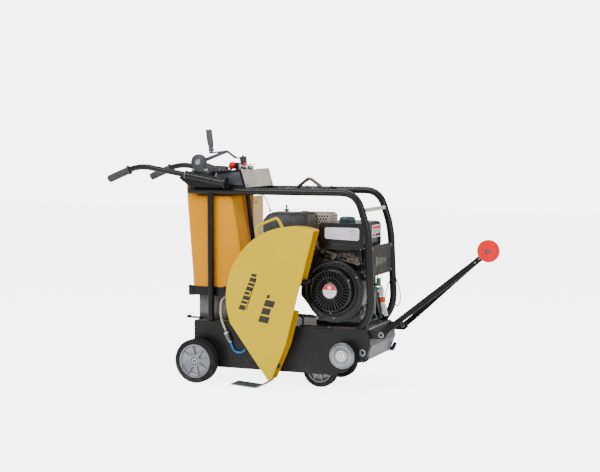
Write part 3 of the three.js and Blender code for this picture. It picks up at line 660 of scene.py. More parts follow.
# ------------------------------------------------------------------ console, throttle, crank and valves
for side, name in SIDES:
    y = 155 * side
    panel = Build().prism([(-28, 899), (199, 899), (182, 957), (96, 950), (-28, 939)],
                          min(y, y + side * 1.2),
                          max(y, y + side * 1.2), "xz", 0.5)
    panel.piece(f"console_side_{name}", "console_blue", "frame_paint")
screws = Build()
for y in (-140, 140):
    for z, x in ((957, 193.6), (899, 213.8)):
        screws.turned([(0, 0), (6, 0), (6, 1.2), (4.6, 2.6), (0, 3)], (x + 1.2, y, z), (0.96, 0, 0.28), 20)
for x in (-20, 60, 150):
    for side in (NEAR, FAR):
        screws.turned([(0, 0), (4.6, 0), (4.2, 2), (0, 2.6)], (x, side * 144, 952 + x * 0.086), UP, 16)
screws.piece("console_screws", "zinc", "zinc")
edge = Build()
for y in (-155.2, 155.2):
    edge.tube([(-41, y, 948.6), (190, y, 968.4), (213, y, 890)], 1.8, 10)
edge.piece("console_edge_trim", "frame_paint", "frame_paint")

throttle = Build()
throttle.turned([(30, -0.5), (34.4, -0.4), (35.2, 1), (34.4, 2.6), (30, 2.4)], (-5, -198.6, 1002), LEFT, 56)
for k in range(5):
    t = 2 * math.pi * k / 5 + 0.4
    throttle.turned([(0, 0), (2.6, 0), (2.2, 1.4), (0, 1.6)],
                    (-5 + 22 * math.cos(t), -200, 1002 + 22 * math.sin(t)), RIGHT, 14)
throttle.prism([(10, 978), (100, 974), (100, 980), (16, 985)], -195.6, -194, "xz", 0.6)
throttle.block(60, 70, -197, -194, 972, 988, 1.2)
throttle.block(84, 92, -197, -194, 971, 987, 1.2)
throttle.block(-34, 50, -190, -156, 944, 966, 3)
throttle.block(-18, 30, -192, -186, 962, 976, 2)
throttle.piece("throttle_rim", "black_plastic", "black_plastic")
bolt = Build()
bolt.turned([(0, 0), (12.5, 0), (12.8, 1), (12, 2.2), (5.6, 2.4), (5.2, 1.0), (0, 1.0)], (-5, -200, 1002),
            RIGHT, 36)
bolt.turned([(0, 0), (4.6, 0), (4.6, 3.4), (3.6, 4.2), (0, 4.2)], (-5, -200, 1002), RIGHT, 6)
for x in (28, 37):
    bolt.turned([(0, 0), (3.6, 0), (3.6, 9), (2.8, 10), (0, 10)], (x, -194, 962), UP, 16)
bolt.piece("throttle_bolts", "chrome", "zinc")

TILT = math.radians(-7.5)


def crank_point(x, y, z):
    """A point in the crank's own tilted frame, in machine millimetres."""
    return (132 + x * math.cos(TILT) + z * math.sin(TILT), y, 1003 - x * math.sin(TILT) + z * math.cos(TILT))


SCREW_AXIS = (math.sin(TILT), 0, math.cos(TILT))
crank_hub = Build()
crank_hub.turned([(16.2, 0), (17.2, 0.8), (17.2, 3.2), (16.2, 4)], crank_point(0, 0, -17), SCREW_AXIS, 40)
crank_hub.turned([(0, 0), (13, 0), (13, 2), (11, 3.4), (0, 4)], crank_point(0, 0, 20.2), SCREW_AXIS, 32)
crank_hub.turned([(0, 0), (8.6, 0), (9.4, 1), (9.4, 6), (8.4, 7), (0, 7)], crank_point(-157, 0, 56.6),
                 SCREW_AXIS, 28)
crank_hub.piece("crank_hub", "black_plastic", "black_plastic", "crank")
pin = Build()
pin.turned([(0, 0), (5.6, 0), (5.6, 6), (4.4, 7), (0, 7)], crank_point(0, 0, 22.5), SCREW_AXIS, 6)
pin.turned([(0, 0), (7, 0), (7, 1), (4, 1.8), (0, 2)], crank_point(-157, 0, 64), SCREW_AXIS, 24)
pin.piece("crank_pin", "zinc", "zinc", "crank")


def flutes(angle, radius, distance):
    return radius - (1.5 * max(0.0, math.cos(9 * angle)) ** 2 if 92 < distance < 163 else 0)


crank_grip = Build().turned([
    (4.9, 66.4), (12.6, 66.4), (13.6, 67.6), (13.6, 74), (11.6, 77), (11, 84), (12.2, 90), (13.4, 97),
    (14.4, 108), (15, 122), (15, 140),
    (14.8, 154), (14.9, 164), (14.2, 167.6), (12.4, 169.6), (0, 170)], crank_point(-157, 0, 0), SCREW_AXIS,
    108, flutes)
crank_grip.piece("fluted_crank_grip", "crank_rubber", "grip_rubber", "crank_grip", ["crank_grip"])

button = Build()


def scallops(angle, radius, distance):
    return radius - (1.1 * (0.5 + 0.5 * math.cos(16 * angle)) if radius > 15 else 0)


button.turned([(0, -28.6), (8, -28.2), (13.4, -26.4), (16.6, -22), (17.6, -15), (17.2, -7), (15.4, -2),
               (12, 0), (7, 0),
               (7, 9), (0, 9)],
              (122, -70, 985), AHEAD, 96, scallops)
button.piece("mushroom_button", "red_plastic", "red_plastic", "stop_button", ["stop_button"])
fitting = Build()
fitting.turned([(7.6, 0), (11, 0), (11.4, 0.6), (11.4, 1.8), (7.6, 1.8)], (126.3, -70, 985), AHEAD, 40)
fitting.block(139.8, 143.6, -80, -58, 966, 996, 1.2)
for x in (141, 188):
    fitting.turned(ring(8, 11.4, 7), (x, -60, 976), AHEAD, 6)
fitting.turned([(6, 0), (8.6, 0), (8.6, 10), (7.4, 12), (0, 12)], (195, -60, 976), AHEAD, 24)
fitting.turned(ring(9, 12.4, 6), (168, -60, 966), UP, 6)
fitting.piece("valve_nuts", "zinc", "zinc")
pale = Build()
pale.block(144, 149, -74, -54, 968, 990, 1.4)
pale.turned([(10.2, 0), (12.0, 0.4), (12.0, 5), (10.2, 5.6)], (168, -60, 978), UP, 24)
pale.turned([(7.2, 0), (9.4, 0.4), (9.4, 8), (7.2, 8.4)], (176, -60, 976), AHEAD, 24)
pale.piece("valve_seals", "label_white", "clear_pvc")
lever = Build()
teeth = [(168, -66)]
for k in range(7):
    teeth += [(176 + 6.4 * k, -66.5), (179 + 6.4 * k, -68.6)]
teeth += [(222, -66), (224, -60), (222, -54), (168, -54)]
lever.prism(teeth, 988.6, 992.2, "xy", 0.6)
lever.turned([(0, 0), (9, 0), (9, 6), (7.6, 7.6), (0, 8)], (168, -60, 986.6), UP, 30)
lever.turned([(0, 0), (4, 0), (4, 2.6), (3, 3.4), (0, 3.4)], (168, -60, 994.2), UP, 6)
lever.piece("valve_handle", "red_plastic", "red_plastic", "water_valve_lever", ["water_valve_lever"])

# ------------------------------------------------------------------ wheels
def wheel(name, centre, radius, width, rim_radius, hub):
    """A solid-tyred wheel, alike on both faces. hub is the radius of its bore."""
    body = f"{name}_wheel"
    half = width / 2
    x, y, z = centre
    tyre = Build()
    profile = [(rim_radius + 0.3, -half + 2), (rim_radius + 4, -half + 0.6), (radius - 16, -half + 0.8),
               (radius - 13, -half + 2.0), (radius - 10, -half + 0.8), (radius - 5, -half + 3.2),
               (radius - 1.6, -half + 7.4)]
    grooves = []
    step = (width - 18) / 4
    for k in range(5):
        d = -half + 9 + k * step
        grooves += [(radius, d - 2.4), (radius, d + 1.6)]
        if k < 4:
            grooves += [(radius - 1.8, d + 2.4), (radius - 1.8, d + step - 3.2)]
    mirrored = [(r, -d) for r, d in profile[::-1]]
    tyre.turned(profile + grooves + mirrored + [(rim_radius + 0.3, -half + 2)], centre, LEFT, 88)
    tyre.piece(f"{name}_treaded_tyre", "tyre_rubber", "tyre_rubber", body, [f"{name}_tyre"])
    rim = Build()
    hub_out = hub + 13.5
    rim.turned([(hub, -half + 4), (hub_out - 2, -half + 4), (hub_out, -half + 6), (hub_out, -half + 13),
                (hub_out + 4, -half + 16), (rim_radius - 15, -half + 17), (rim_radius - 8, -half + 13),
                (rim_radius - 5, -half + 4), (rim_radius - 3.6, -half + 3), (rim_radius, -half + 3),
                (rim_radius, half - 3), (rim_radius - 3.6, half - 3), (rim_radius - 5, half - 4),
                (rim_radius - 8, half - 13), (rim_radius - 15, half - 17), (hub_out + 4, half - 16),
                (hub_out, half - 13), (hub_out, half - 6), (hub_out - 2, half - 4), (hub, half - 4),
                (hub, -half + 4)],
               centre, LEFT, 80)
    for side in (NEAR, FAR):
        for k in range(8):
            t = 2 * math.pi * k / 8 + 0.2
            along, across = spoke(t)
            near, far = hub_out - 1, rim_radius - 5.5
            deep, tall = side * (half - 18), side * (half - 8)
            tip = side * (half - 6)
            corners = []
            for r, wide, top in ((near, 4.6, tip), (far, 3.0, tall)):
                for w in (-wide, wide):
                    corners += [Vector(centre) + along * r + across * w + Vector((0, h, 0)) for h in (deep,
                                                                                                      top)]
            rim.eased(corners, BOX_FACES, 1.2, 2)
    rim.piece(f"{name}_ribbed_rim", "rim_cast", "rim_cast", body, [f"{name}_rim"])
    seal = Build()
    for side in (NEAR, FAR):
        seal.turned([(hub + 3, 0), (hub + 9.6, 0), (hub + 9.6, 1.4), (hub + 3, 1.4)],
                    (x, y + side * (half - 4.2), z), (0, side, 0), 48)
    seal.piece(f"{name}_bearing_seal", "dark_hole", "tyre_rubber", body)
    race = Build()
    for side in (NEAR, FAR):
        race.turned([(hub, 0), (hub + 3.4, 0), (hub + 3.4, 2.0), (hub, 2.2)],
                    (x, y + side * (half - 4.2), z),
                    (0, side, 0), 48)
        race.turned([(hub + 9.6, 0), (hub + 11.4, 0), (hub + 11.4, 2.0), (hub + 9.6, 2.0)],
                    (x, y + side * (half - 4.2), z), (0, side, 0), 48)
    race.piece(f"{name}_bearing_race", "chrome", "zinc", body)


for side, name in SIDES:
    wheel(f"rear_{name}", (0, 230 * side, 100), 100, 52, 76, 10.4)
for y, name in ((-118, "right"), (142, "left")):
    wheel(f"front_{name}", (563, y, 80), 80, 44, 58, 9.4)
clips = Build()
for side in (NEAR, FAR):
    clips.turned([(0, 0), (7.6, 0), (8.4, 1), (8.0, 3.2), (6.4, 4.4), (0, 4.6)], (0, side * 251, 100),
                 (0, side, 0), 32)
clips.piece("axle_caps", "zinc", "zinc")

# ------------------------------------------------------------------ engine
def ring_of(centre, axis, radius, count, start=0.0):
    """Points spaced round a circle, with the angle of each."""
    along = Vector(axis).normalized()
    side = Vector(AHEAD) if abs(along.x) < 0.9 else Vector(UP)
    up = along.cross(side)
    for k in range(count):
        t = start + 2 * math.pi * k / count
        yield Vector(centre) + (side * math.cos(t) + up * math.sin(t)) * radius, t


RECOIL = Vector((628, -150, 440))


def recoil_starter():
    cover = Build()
    cover.turned([(102.6, 0.6), (102.6, -12), (99, -19), (94.5, -25.5), (90.5, -27.5), (88, -26.6),
                  (86, -22),
                  (85.6, 0.6), (102.6, 0.6)], RECOIL, LEFT, 96)
    cover.turned([(0, -34), (33.6, -33.6), (37.6, -31.6), (38.4, -22), (0, -22)], RECOIL, LEFT, 72)
    cover.turned([(57.6, -31.0), (60.6, -31.4), (61.6, -29.0), (61.6, -24), (56.8, -24), (57.6, -31.0)],
                 RECOIL,
                 LEFT, 96)
    for k in range(34):
        t = 2 * math.pi * k / 34
        along, across = spoke(t)
        lean = across * 4.0
        corners = []
        for r, wide, top in ((37, 1.7, -32.0), (87, 2.5, -27.4)):
            shift = lean * ((r - 37) / 50)
            for w in (-wide, wide):
                corners += [RECOIL + along * r + shift + across * w + Vector((0, h, 0)) for h in (-17.0,
                                                                                                  top)]
        cover.eased(corners, BOX_FACES, 0.6, 1)
    cover.piece("recoil_fins", "engine_paint", "engine_paint", "frame", ["recoil_cover"], smooth=32)
    # A near-black disc behind the fins: painted shade in the slots between them.
    Build().turned([(0, -14), (86, -14), (86, -12), (0, -12)], RECOIL, LEFT, 72).piece(
        "recoil_slot_shade", "dark_hole", "engine_paint")
    bolts = Build()
    for p, _ in ring_of(RECOIL + Vector((0, -19.5, 0)), LEFT, 96.5, 3, math.pi / 2):
        bolts.bolt(p, RIGHT, 3.4, 3.4)
    for x, z in ((636, 318), (742, 500), (536, 350), (520, 540)):
        bolts.bolt((x, -146 if x < 560 else -150, z), RIGHT, 3.8, 3.6)
    bolts.piece("recoil_bolts", "cast_grey", "zinc")
    badge = Build()
    badge.turned([(0, -34.9), (31, -34.6), (32, -34.0), (0, -33.4)], RECOIL, LEFT, 64)
    badge.piece("recoil_badge", "label_white", "red_plastic")
    arc = Build()
    outer = [(30.5 * math.cos(t),
              30.5 * math.sin(t)) for t in (math.pi * (0.04 + 0.92 * k / 26) for k in range(27))]
    arc.prism([(628 + u, 440 + 1 + v) for u, v in outer], -185.5, -184.6, "xz", 0.1, 1)
    arc.piece("recoil_badge_colour", "label_red", "red_plastic")
    mark = Build()
    mark.turned([(0, -1.0), (8.2, -0.9), (8.8, 0), (0, 0.3)], (628, -185.2, 455), LEFT, 36)
    mark.block(603, 653, -185.8, -184.6, 431, 436, 0.4)
    mark.piece("recoil_badge_mark", "label_white", "red_plastic")


def shroud_details():
    shroud = Build()
    shroud.turned([(107, 1), (107, -2.5), (109.5, -5.5), (113.5, -5.5), (116, -2.5), (116, 1), (107, 1)],
                  (632, -150, 438), LEFT, 96)
    shroud.turned([(129, 1), (129.6, -2.6), (132.8, -3.8), (136.6, -2.6), (137.4, 1), (129, 1)],
                  (638, -150, 434), LEFT, 96)
    for p, t in ring_of((635, -151.2, 436), LEFT, 122.5, 18, 0.2):
        along, across = spoke(t)
        if p.z < 320:
            continue
        corners = []
        for r in (-6, 6):
            for w in (-1.6, 1.6):
                corners += [p + along * r + across * w + Vector((0, h, 0)) for h in (1.5, -2.2)]
        shroud.eased(corners, BOX_FACES, 0.6, 1)
    shroud.prism([(494, 420), (552, 342), (560, 352), (512, 420)], -148.4, -145.6, "xz", 1.0)
    shroud.prism([(500, 548), (500, 440), (512, 440), (516, 548)], -148.4, -145.6, "xz", 1.0)
    shroud.piece("shroud_ribs", "engine_paint", "engine_paint")


def fuel_tank_details():
    seam = Build()
    outline = [(558.5, 84), (558.5, -142), (568, -151), (768, -151), (776, -142), (776, 84), (768, 93),
               (568, 93)]
    seam.prism(outline, 640, 643.4, "xy", 1.0)
    seam.turned([(0, 0), (39, 0), (39.4, 0.5), (38.6, 1.2), (0, 1.2)], (655, -30, 737.0), UP, 48)
    seam.piece("fuel_tank_seam", "engine_paint", "engine_paint")
    label = Build()
    label.prism([(598, 668), (744, 662), (752, 668), (753, 712), (746, 718), (598, 718), (592, 712),
                 (592, 674)],
                -148.8, -147.6, "xz", 0.25, 1)
    label.piece("tank_label", "label_pale", "engine_paint")
    marks = Build()
    for x0, x1, z0, z1 in ((700, 728, 700, 707), (716, 744, 686, 692), (604, 640, 676, 679),
                           (604, 662, 683, 685)):
        marks.block(x0, x1, -149.2, -148.4, z0, z1, 0.2, 1)
    marks.prism([(706, 696), (722, 710), (738, 700), (738, 694), (722, 703), (710, 692)], -149.3, -148.4,
                "xz", 0.2, 1)
    marks.piece("tank_label_marks", "print_pale", "engine_paint")
    end = Build()
    end.prism([(-36, 668), (84, 668), (84, 724), (-36, 724)], 773.4, 774.8, "yz", 0.3, 1)
    end.piece("tank_end_label", "label_white", "engine_paint")
    red = Build()
    red.prism([(-30, 706), (78, 706), (78, 719), (-30, 719)], 774.6, 775.3, "yz", 0.2, 1)
    red.prism([(-30, 673), (4, 673), (4, 684), (-30, 684)], 774.6, 775.3, "yz", 0.2, 1)
    red.piece("tank_end_band", "label_red", "red_plastic")
    dark = Build()
    for z in (700, 695, 690):
        dark.prism([(-28, z), (70, z), (70, z + 2), (-28, z + 2)], 774.6, 775.2, "yz", 0.1, 1)
    dark.prism([(10, 673), (76, 673), (76, 685), (10, 685)], 774.6, 775.2, "yz", 0.2, 1)
    dark.piece("tank_end_lines", "print_black", "engine_paint")

    def knurl(angle, radius, distance):
        knurled = 1 < distance < 17 and radius > 30
        return radius - (1.5 * (0.5 + 0.5 * math.cos(24 * angle)) if knurled else 0)
    cap = Build()
    cap.turned([(0, 0), (34.5, 0), (36, 2), (36, 9), (35.4, 14), (33, 18), (27, 20.4), (25.6, 19.4),
                (20, 19.2),
                (18, 21.6), (0, 22)], (655, -30, 738.6), UP, 96, knurl)
    cap.block(633, 677, -35, -25, 752, 760.4, 2.2)
    cap.piece("ribbed_fuel_cap", "teal_cap", "black_plastic", "fuel_cap", ["fuel_cap"])


def air_cleaner_details():
    body = Build()
    body.prism([(274, 686), (466, 686), (466, 762), (300, 762), (274, 732)], -75.6, -71, "xz", 2.2)
    body.prism([(288, 697), (452, 697), (452, 752), (308, 752), (288, 728)], -77.4, -75, "xz", 1.2)
    for x in (300, 332, 364, 396, 428):
        body.block(x, x + 4, -79, -77, 703, 742, 0.8)
    body.piece("air_cleaner_cover", "black_plastic", "black_plastic")
    top = Build().prism([(300, -60), (466, -60), (466, 30), (300, 30)], 771.4, 774.6, "xy", 1.4)
    top.piece("air_cleaner_top", "dull_metal", "black_plastic")
    knob = Build()
    knob.turned([(0, 0), (9, 0), (9, 3), (3, 5), (3, 20), (4.6, 22), (4.6, 30), (3, 33), (0, 33)],
                (355, -16, 774), UP, 24)
    knob.prism([(341, 779), (369, 779), (366, 788), (344, 788)], -18, -14, "xz", 1.2)
    knob.piece("air_cleaner_knob", "black_plastic", "black_plastic")
    plate = Build()
    plate.prism([(420, -62), (470, -62), (470, 34), (420, 34)], 774.4, 776.0, "xy", 0.5)
    plate.turned([(0, 0), (17, 0), (17, 3), (14, 5), (0, 5)], (448, -24, 776), UP, 32)
    plate.piece("air_cleaner_lid", "dull_metal", "rim_cast")
    end = Build()
    end.prism([(-66, 684), (34, 684), (34, 764), (-66, 764)], 477.0, 479.6, "yz", 1.0)
    end.piece("air_cleaner_end", "dull_metal", "black_plastic")
    elbow = Build()
    elbow.tube(eased_path([(430, -40, 678), (430, -60, 640, 20), (462, -78, 606)], 10), 19, 28)
    elbow.turned(ring(19, 23, 7), (462, -78, 606), (0.6, -0.35, -0.7), 28)
    elbow.piece("intake_elbow", "black_plastic", "black_plastic")


def muffler_details():
    guard = Build()
    guard.prism([(430, 668), (540, 668), (540, 764), (430, 764)], 46.8, 48.4, "xz", 0.4)
    guard.prism([(430, 56), (540, 56), (540, 134), (430, 134)], 769.0, 770.6, "xy", 0.4)
    guard.prism([(56, 668), (134, 668), (134, 764), (56, 764)], 546.4, 548.0, "yz", 0.4)
    guard.piece("muffler_guard", "panel_paint", "panel_paint")
    # Near-black discs where the guard's holes are: painted shade inside the holes.
    holes = Build()
    dot = plug(4.2, 0.5)
    for row in range(7):
        for k in range(8):
            x = 439 + 13 * k + (6.5 if row % 2 else 0)
            if x < 536:
                holes.turned(dot, (x, 46.9, 676 + 13 * row), RIGHT, 12)
                if row < 6:
                    holes.turned(dot, (x, 64 + 13 * row, 770.4), UP, 12)
    for row in range(7):
        for k in range(6):
            y = 62 + 13 * k + (6.5 if row % 2 else 0)
            if y < 130:
                holes.turned(dot, (547.8, y, 676 + 13 * row), AHEAD, 12)
    holes.piece("muffler_guard_holes", "dark_hole", "panel_paint")
    pipe = Build()
    pipe.tube(eased_path([(470, 96, 664), (470, 92, 632, 16), (446, 70, 606)], 10), 15, 24)
    pipe.turned(ring(15, 22, 8), (446, 70, 606), (0.5, 0.4, 0.6), 24)
    pipe.tube([(541, 118, 700), (560, 122, 698)], 9, 20)
    pipe.piece("exhaust_pipe", "brown_iron", "panel_paint")


def cylinder_and_linkage():
    turn = Matrix.Rotation(math.radians(-22), 3, "Y")

    def local(x, y, z):
        return Vector((484, 10, 545)) + turn @ Vector((x, y, z))
    fins = Build()
    for k in range(13):
        x = -88 + 13.2 * k
        corners = [local(u, v, w) for u in (x, x + 3.6) for v in (-90, 90) for w in (-80, 80)]
        fins.eased(corners, BOX_FACES, 1.0, 1)
    fins.piece("cylinder_fins", "cast_grey", "rim_cast")
    cover = Build()
    corners = [local(u, v, w) for u in (-118, -96) for v in (-60, 60) for w in (-52, 52)]
    cover.eased(corners, BOX_FACES, 7, 3)
    cover.piece("rocker_cover", "engine_paint", "engine_paint")
    bolts = Build()
    for v, w in ((-52, -44), (52, -44), (-52, 44), (52, 44)):
        bolts.bolt(local(-118, v, w), turn @ Vector(BACK), 4.6, 4)
    for x in (541, 749):
        for y in (-76, 94):
            bolts.bolt((x, y, 296.4), UP, 6.5, 6)
    for y, z in ((-70, 330), (-70, 470), (90, 330), (90, 470)):
        bolts.bolt((742.4, y, z), AHEAD, 4.6, 4.2)
    bolts.piece("engine_bolts", "zinc", "zinc")
    crankcase = Build()
    for z in (330, 372, 414, 456, 498):
        crankcase.block(741, 748, -80, 100, z, z + 5, 1.6)
    for y in (-60, 0, 60):
        crankcase.block(741, 747, y - 2.5, y + 2.5, 322, 510, 1.4)
    crankcase.turned([(0, 0), (22, 0), (22, 10), (18, 14), (0, 14)], (744, 40, 350), AHEAD, 32)
    crankcase.turned([(52, 0), (58, 0), (58, 12), (52, 14), (52, 0)], (628, 118, 440), LEFT, 48)
    for x, z in ((566, 500), (700, 500), (566, 376), (700, 376)):
        crankcase.turned([(0, 0), (11, 0), (10, 9), (0, 9)], (x, 117, z), LEFT, 24)
    crankcase.piece("crankcase_ribs", "cast_grey", "rim_cast")
    link = Build()
    link.prism([(560, 612), (580, 622), (640, 600), (700, 604), (742, 588), (740, 580), (700, 590),
                (640, 588), (582, 606),
                (566, 598)], -124, -120.6, "xz", 0.8)
    link.prism([(604, 570), (626, 566), (640, 594), (630, 604), (614, 600)], -130, -126.8, "xz", 1.0)
    link.prism([(684, 566), (742, 552), (752, 562), (744, 578), (700, 586), (688, 580)], -131, -127.6, "xz",
               1.0)
    link.tube(eased_path([(566, -126, 604), (600, -128, 588, 10), (664, -130, 592, 14), (742, -132, 570)],
                         8), 1.8, 12)
    link.tube(eased_path([(590, -134, 574), (640, -136, 566, 10), (708, -135, 574)], 8), 1.6, 12)
    for x, z in ((622, 586), (572, 608), (700, 576), (738, 566), (640, 598)):
        link.turned([(0, 0), (6.4, 0), (6.4, 2), (4, 5), (0, 5.4)], (x, -131, z), RIGHT, 20)
    coil = []
    for k in range(140):
        t = k / 139
        coil.append((646 + 50 * t, -134 + 3.6 * math.cos(28 * math.pi * t),
                     600 + 3.6 * math.sin(28 * math.pi * t) - 6 * t))
    link.tube(coil, 0.8, 8)
    link.piece("governor_linkage", "worn_steel", "zinc")
    bracket = Build()
    bracket.block(552, 756, -119, -98, 556, 618, 3)
    bracket.prism([(566, 560), (588, 552), (598, 590), (580, 600)], -128, -120, "xz", 1.4)
    bracket.turned([(0, 0), (15, 0), (15, 16), (11, 20), (0, 20)], (666, -119, 572), RIGHT, 36)
    bracket.turned([(0, 0), (10, 0), (10, 13), (0, 14)], (720, -119, 600), RIGHT, 30)
    bracket.block(742, 760, -96, 60, 556, 622, 3)
    bracket.piece("control_plate", "engine_paint", "engine_paint")
    boot = Build()
    boot.tube(eased_path([(392, -76, 604), (400, -104, 600, 16), (470, -108, 574, 30), (520, -104, 560)],
                         10), 3.4, 14)
    boot.turned([(0, 0), (9, 0), (8, 20), (5, 24), (0, 24)], (388, -70, 604), (0.2, -1, 0), 24)
    boot.piece("plug_lead", "dark_hole", "black_plastic")
    lower = Build()
    lower.prism([(470, 408), (500, 408), (500, 438), (470, 438)], -128, -118, "xz", 2)
    for z in (412, 421, 430):
        lower.block(474, 496, -129.4, -127.6, z, z + 4, 0.6)
    lower.piece("oil_switch", "brown_iron", "black_plastic")


recoil_starter()
shroud_details()
fuel_tank_details()
air_cleaner_details()
muffler_details()
cylinder_and_linkage()


# ------------------------------------------------------------------ wiring in front of the engine
def wiring():
    y = 118
    green = Build().block(744, 764, y - 8, y + 8, 436, 474, 3)
    green.block(748, 760, y - 10, y + 6, 416, 432, 2)
    green.piece("connector_green", "green_part", "black_plastic")
    white = Build().block(757, 778, y - 8, y + 8, 388, 426, 3)
    white.block(764, 774, y - 9, y + 5, 426, 440, 2)
    white.piece("connector_pale", "label_white", "clear_pvc")
    orange = Build().block(762, 786, y - 9, y + 9, 360, 387, 4)
    orange.piece("connector_orange", "orange_part", "red_plastic")
    strip = Build().prism([(764, 358), (786, 358), (799, 302), (783, 298)], y - 7, y + 7, "xz", 2)
    strip.piece("connector_strip", "label_white", "clear_pvc")
    wires = Build()
    wires.tube(eased_path([(748, y, 474), (752, y, 520, 20), (742, 70, 548)], 8), 2.2, 10)
    wires.tube(eased_path([(786, y, 388), (794, y, 440, 30), (816, y, 478, 26), (834, y, 474)], 10), 2.3, 10)
    wires.tube(eased_path([(826, 150, 470), (848, 147, 420, 30), (852, 143, 366, 24), (838, 142, 344, 10),
                           (826, 148, 352)], 10), 2.3, 10)
    wires.tube(eased_path([(756, y, 432), (752, y, 380, 26), (770, y - 8, 330, 30), (760, 100, 284)], 10),
               2.4, 10)
    wires.tube(eased_path([(770, y, 392), (764, y, 356, 18), (758, y + 10, 320, 20), (766, 128, 282)], 10),
               2.0, 10)
    wires.piece("wiring", "dark_hole", "black_plastic")
    leaf = Build().tube(eased_path([(756, y + 4, 420), (758, y + 8, 340, 20), (770, y, 290)], 8), 2.6, 10)
    leaf.piece("wire_green", "green_part", "black_plastic")


wiring()

# ------------------------------------------------------------------ blade guard
def guard_details():
    lip = Build()
    edge = [(583.6, -266.6, 707.0), (451.8, -266.6, 203.5), (428, -266.6, 144.4), (382.2, -266.6, 43.6)]
    lip.tube(edge, 1.7, 10)
    for x, z in ((323, 666), (430.5, 709)):
        bead(lip, (x, -230, z), (0, 0.1, 1), 6.4, 1.8, 18)
    arc = [(488 + 322.4 * math.cos(t), -267.2, 401 + 322.4 * math.sin(t))
           for t in (1.285 + (math.pi + 0.38 - 1.285) * k / 60 for k in range(61))]
    lip.tube(arc, 1.2, 8)
    lip.tube([(x, -192.8, z) for x, _, z in arc], 1.2, 8)
    lip.piece("guard_edges", "guard_paint", "guard_paint", "guard")
    stops = Build()
    for x, z in ((519, 478), (386, 96)):
        stops.turned([(0, 0), (10, 0), (12, 3), (12, 11), (9, 15), (0, 16)], (x, -195.6, z), RIGHT, 32)
    stops.turned([(0, 0), (6.5, 0), (8, 2), (8, 20), (6, 24), (0, 25)], (524, -206, 480), (1, 0, 0.1), 28)
    stops.piece("guard_stops", "dark_hole", "black_plastic", "guard")
    handle = Build()
    handle.tube(eased_path([(324, -230, 658), (294, -230, 701, 18), (306, -230, 724, 12),
                            (399, -230, 760.6, 16),
                            (431, -230, 700)], 10), 5.9, 20)
    handle.piece("guard_handle", "guard_paint", "guard_paint", "guard")


def guard_print():
    """Plain slanted bars where the printing is."""
    marks = Build()

    def row(start, end, wide, lengths):
        a, b = Vector(start), Vector(end)
        along = (b - a).normalized()
        across = Vector((along.z, 0, -along.x))
        d = 0
        for length, gap, share in lengths:
            p = a + along * d
            q = p + along * length
            lean = along * wide * 0.22
            corners = []
            for y in (-268.9, -267.8):
                corners += [p + Vector((0, y, 0)), q + Vector((0, y, 0)),
                            q + lean * share + across * wide * share + Vector((0, y, 0)),
                            p + lean * share + across * wide * share + Vector((0, y, 0))]
            faces = [[0, 1, 2, 3], [7, 6, 5, 4], [0, 4, 5, 1], [1, 5, 6, 2], [2, 6, 7, 3], [3, 7, 4, 0]]
            marks.eased(corners, faces, 0.3, 1)
            d += length + gap
    row((226, 0, 352), (298, 0, 524), 30, [(22, 8, 1.0), (13, 6, 1.0), (19, 6, 1.0), (13, 6, 0.8),
                                           (19, 6, 1.0),
                                           (13, 6, 0.9), (19, 6, 1.0), (13, 6, 0.8)])
    row((262, 0, 348), (322, 0, 524), 4, [(150, 0, 1.0)])
    row((322, 0, 300), (382, 0, 462), 46, [(30, 8, 1.0), (30, 8, 0.86), (30, 8, 1.0), (16, 0, 0.3)])
    marks.piece("guard_print", "print_black", "guard_paint", "guard")


def spindle_details():
    washers = Build()
    centre = (702, -235.6, 164)
    washers.turned([(0, 0), (24, 0), (25, 1), (24, 3), (0, 3)], centre, RIGHT, 44)
    washers.turned([(0, 3), (17.4, 3), (17.8, 4), (17.8, 11), (15.8, 12.6), (0, 12.6)], centre, RIGHT, 6)
    washers.turned([(0, 12), (9.6, 12), (9.6, 17), (8, 19), (0, 19)], centre, RIGHT, 32)
    washers.turned([(38.6, -0.6), (40.4, -0.4), (41.2, 0.4), (42.6, 0.4), (43.4, -1), (38.6, -1),
                    (38.6, -0.6)],
                   centre, RIGHT, 64)
    washers.piece("spindle_nut", "chrome", "zinc", "spindle")
    machined = Build()
    for r in (30, 34.5):
        machined.turned([(r, 0), (r + 0.9, 0.5), (r + 1.8, 0), (r, 0)], centre, RIGHT, 64)
    machined.turned([(0, 0), (3, 0), (3, 6), (0, 6.4)], (702 - 27, -232.6, 164 + 10), RIGHT, 20)
    machined.piece("flange_rings", "zinc", "zinc", "spindle")


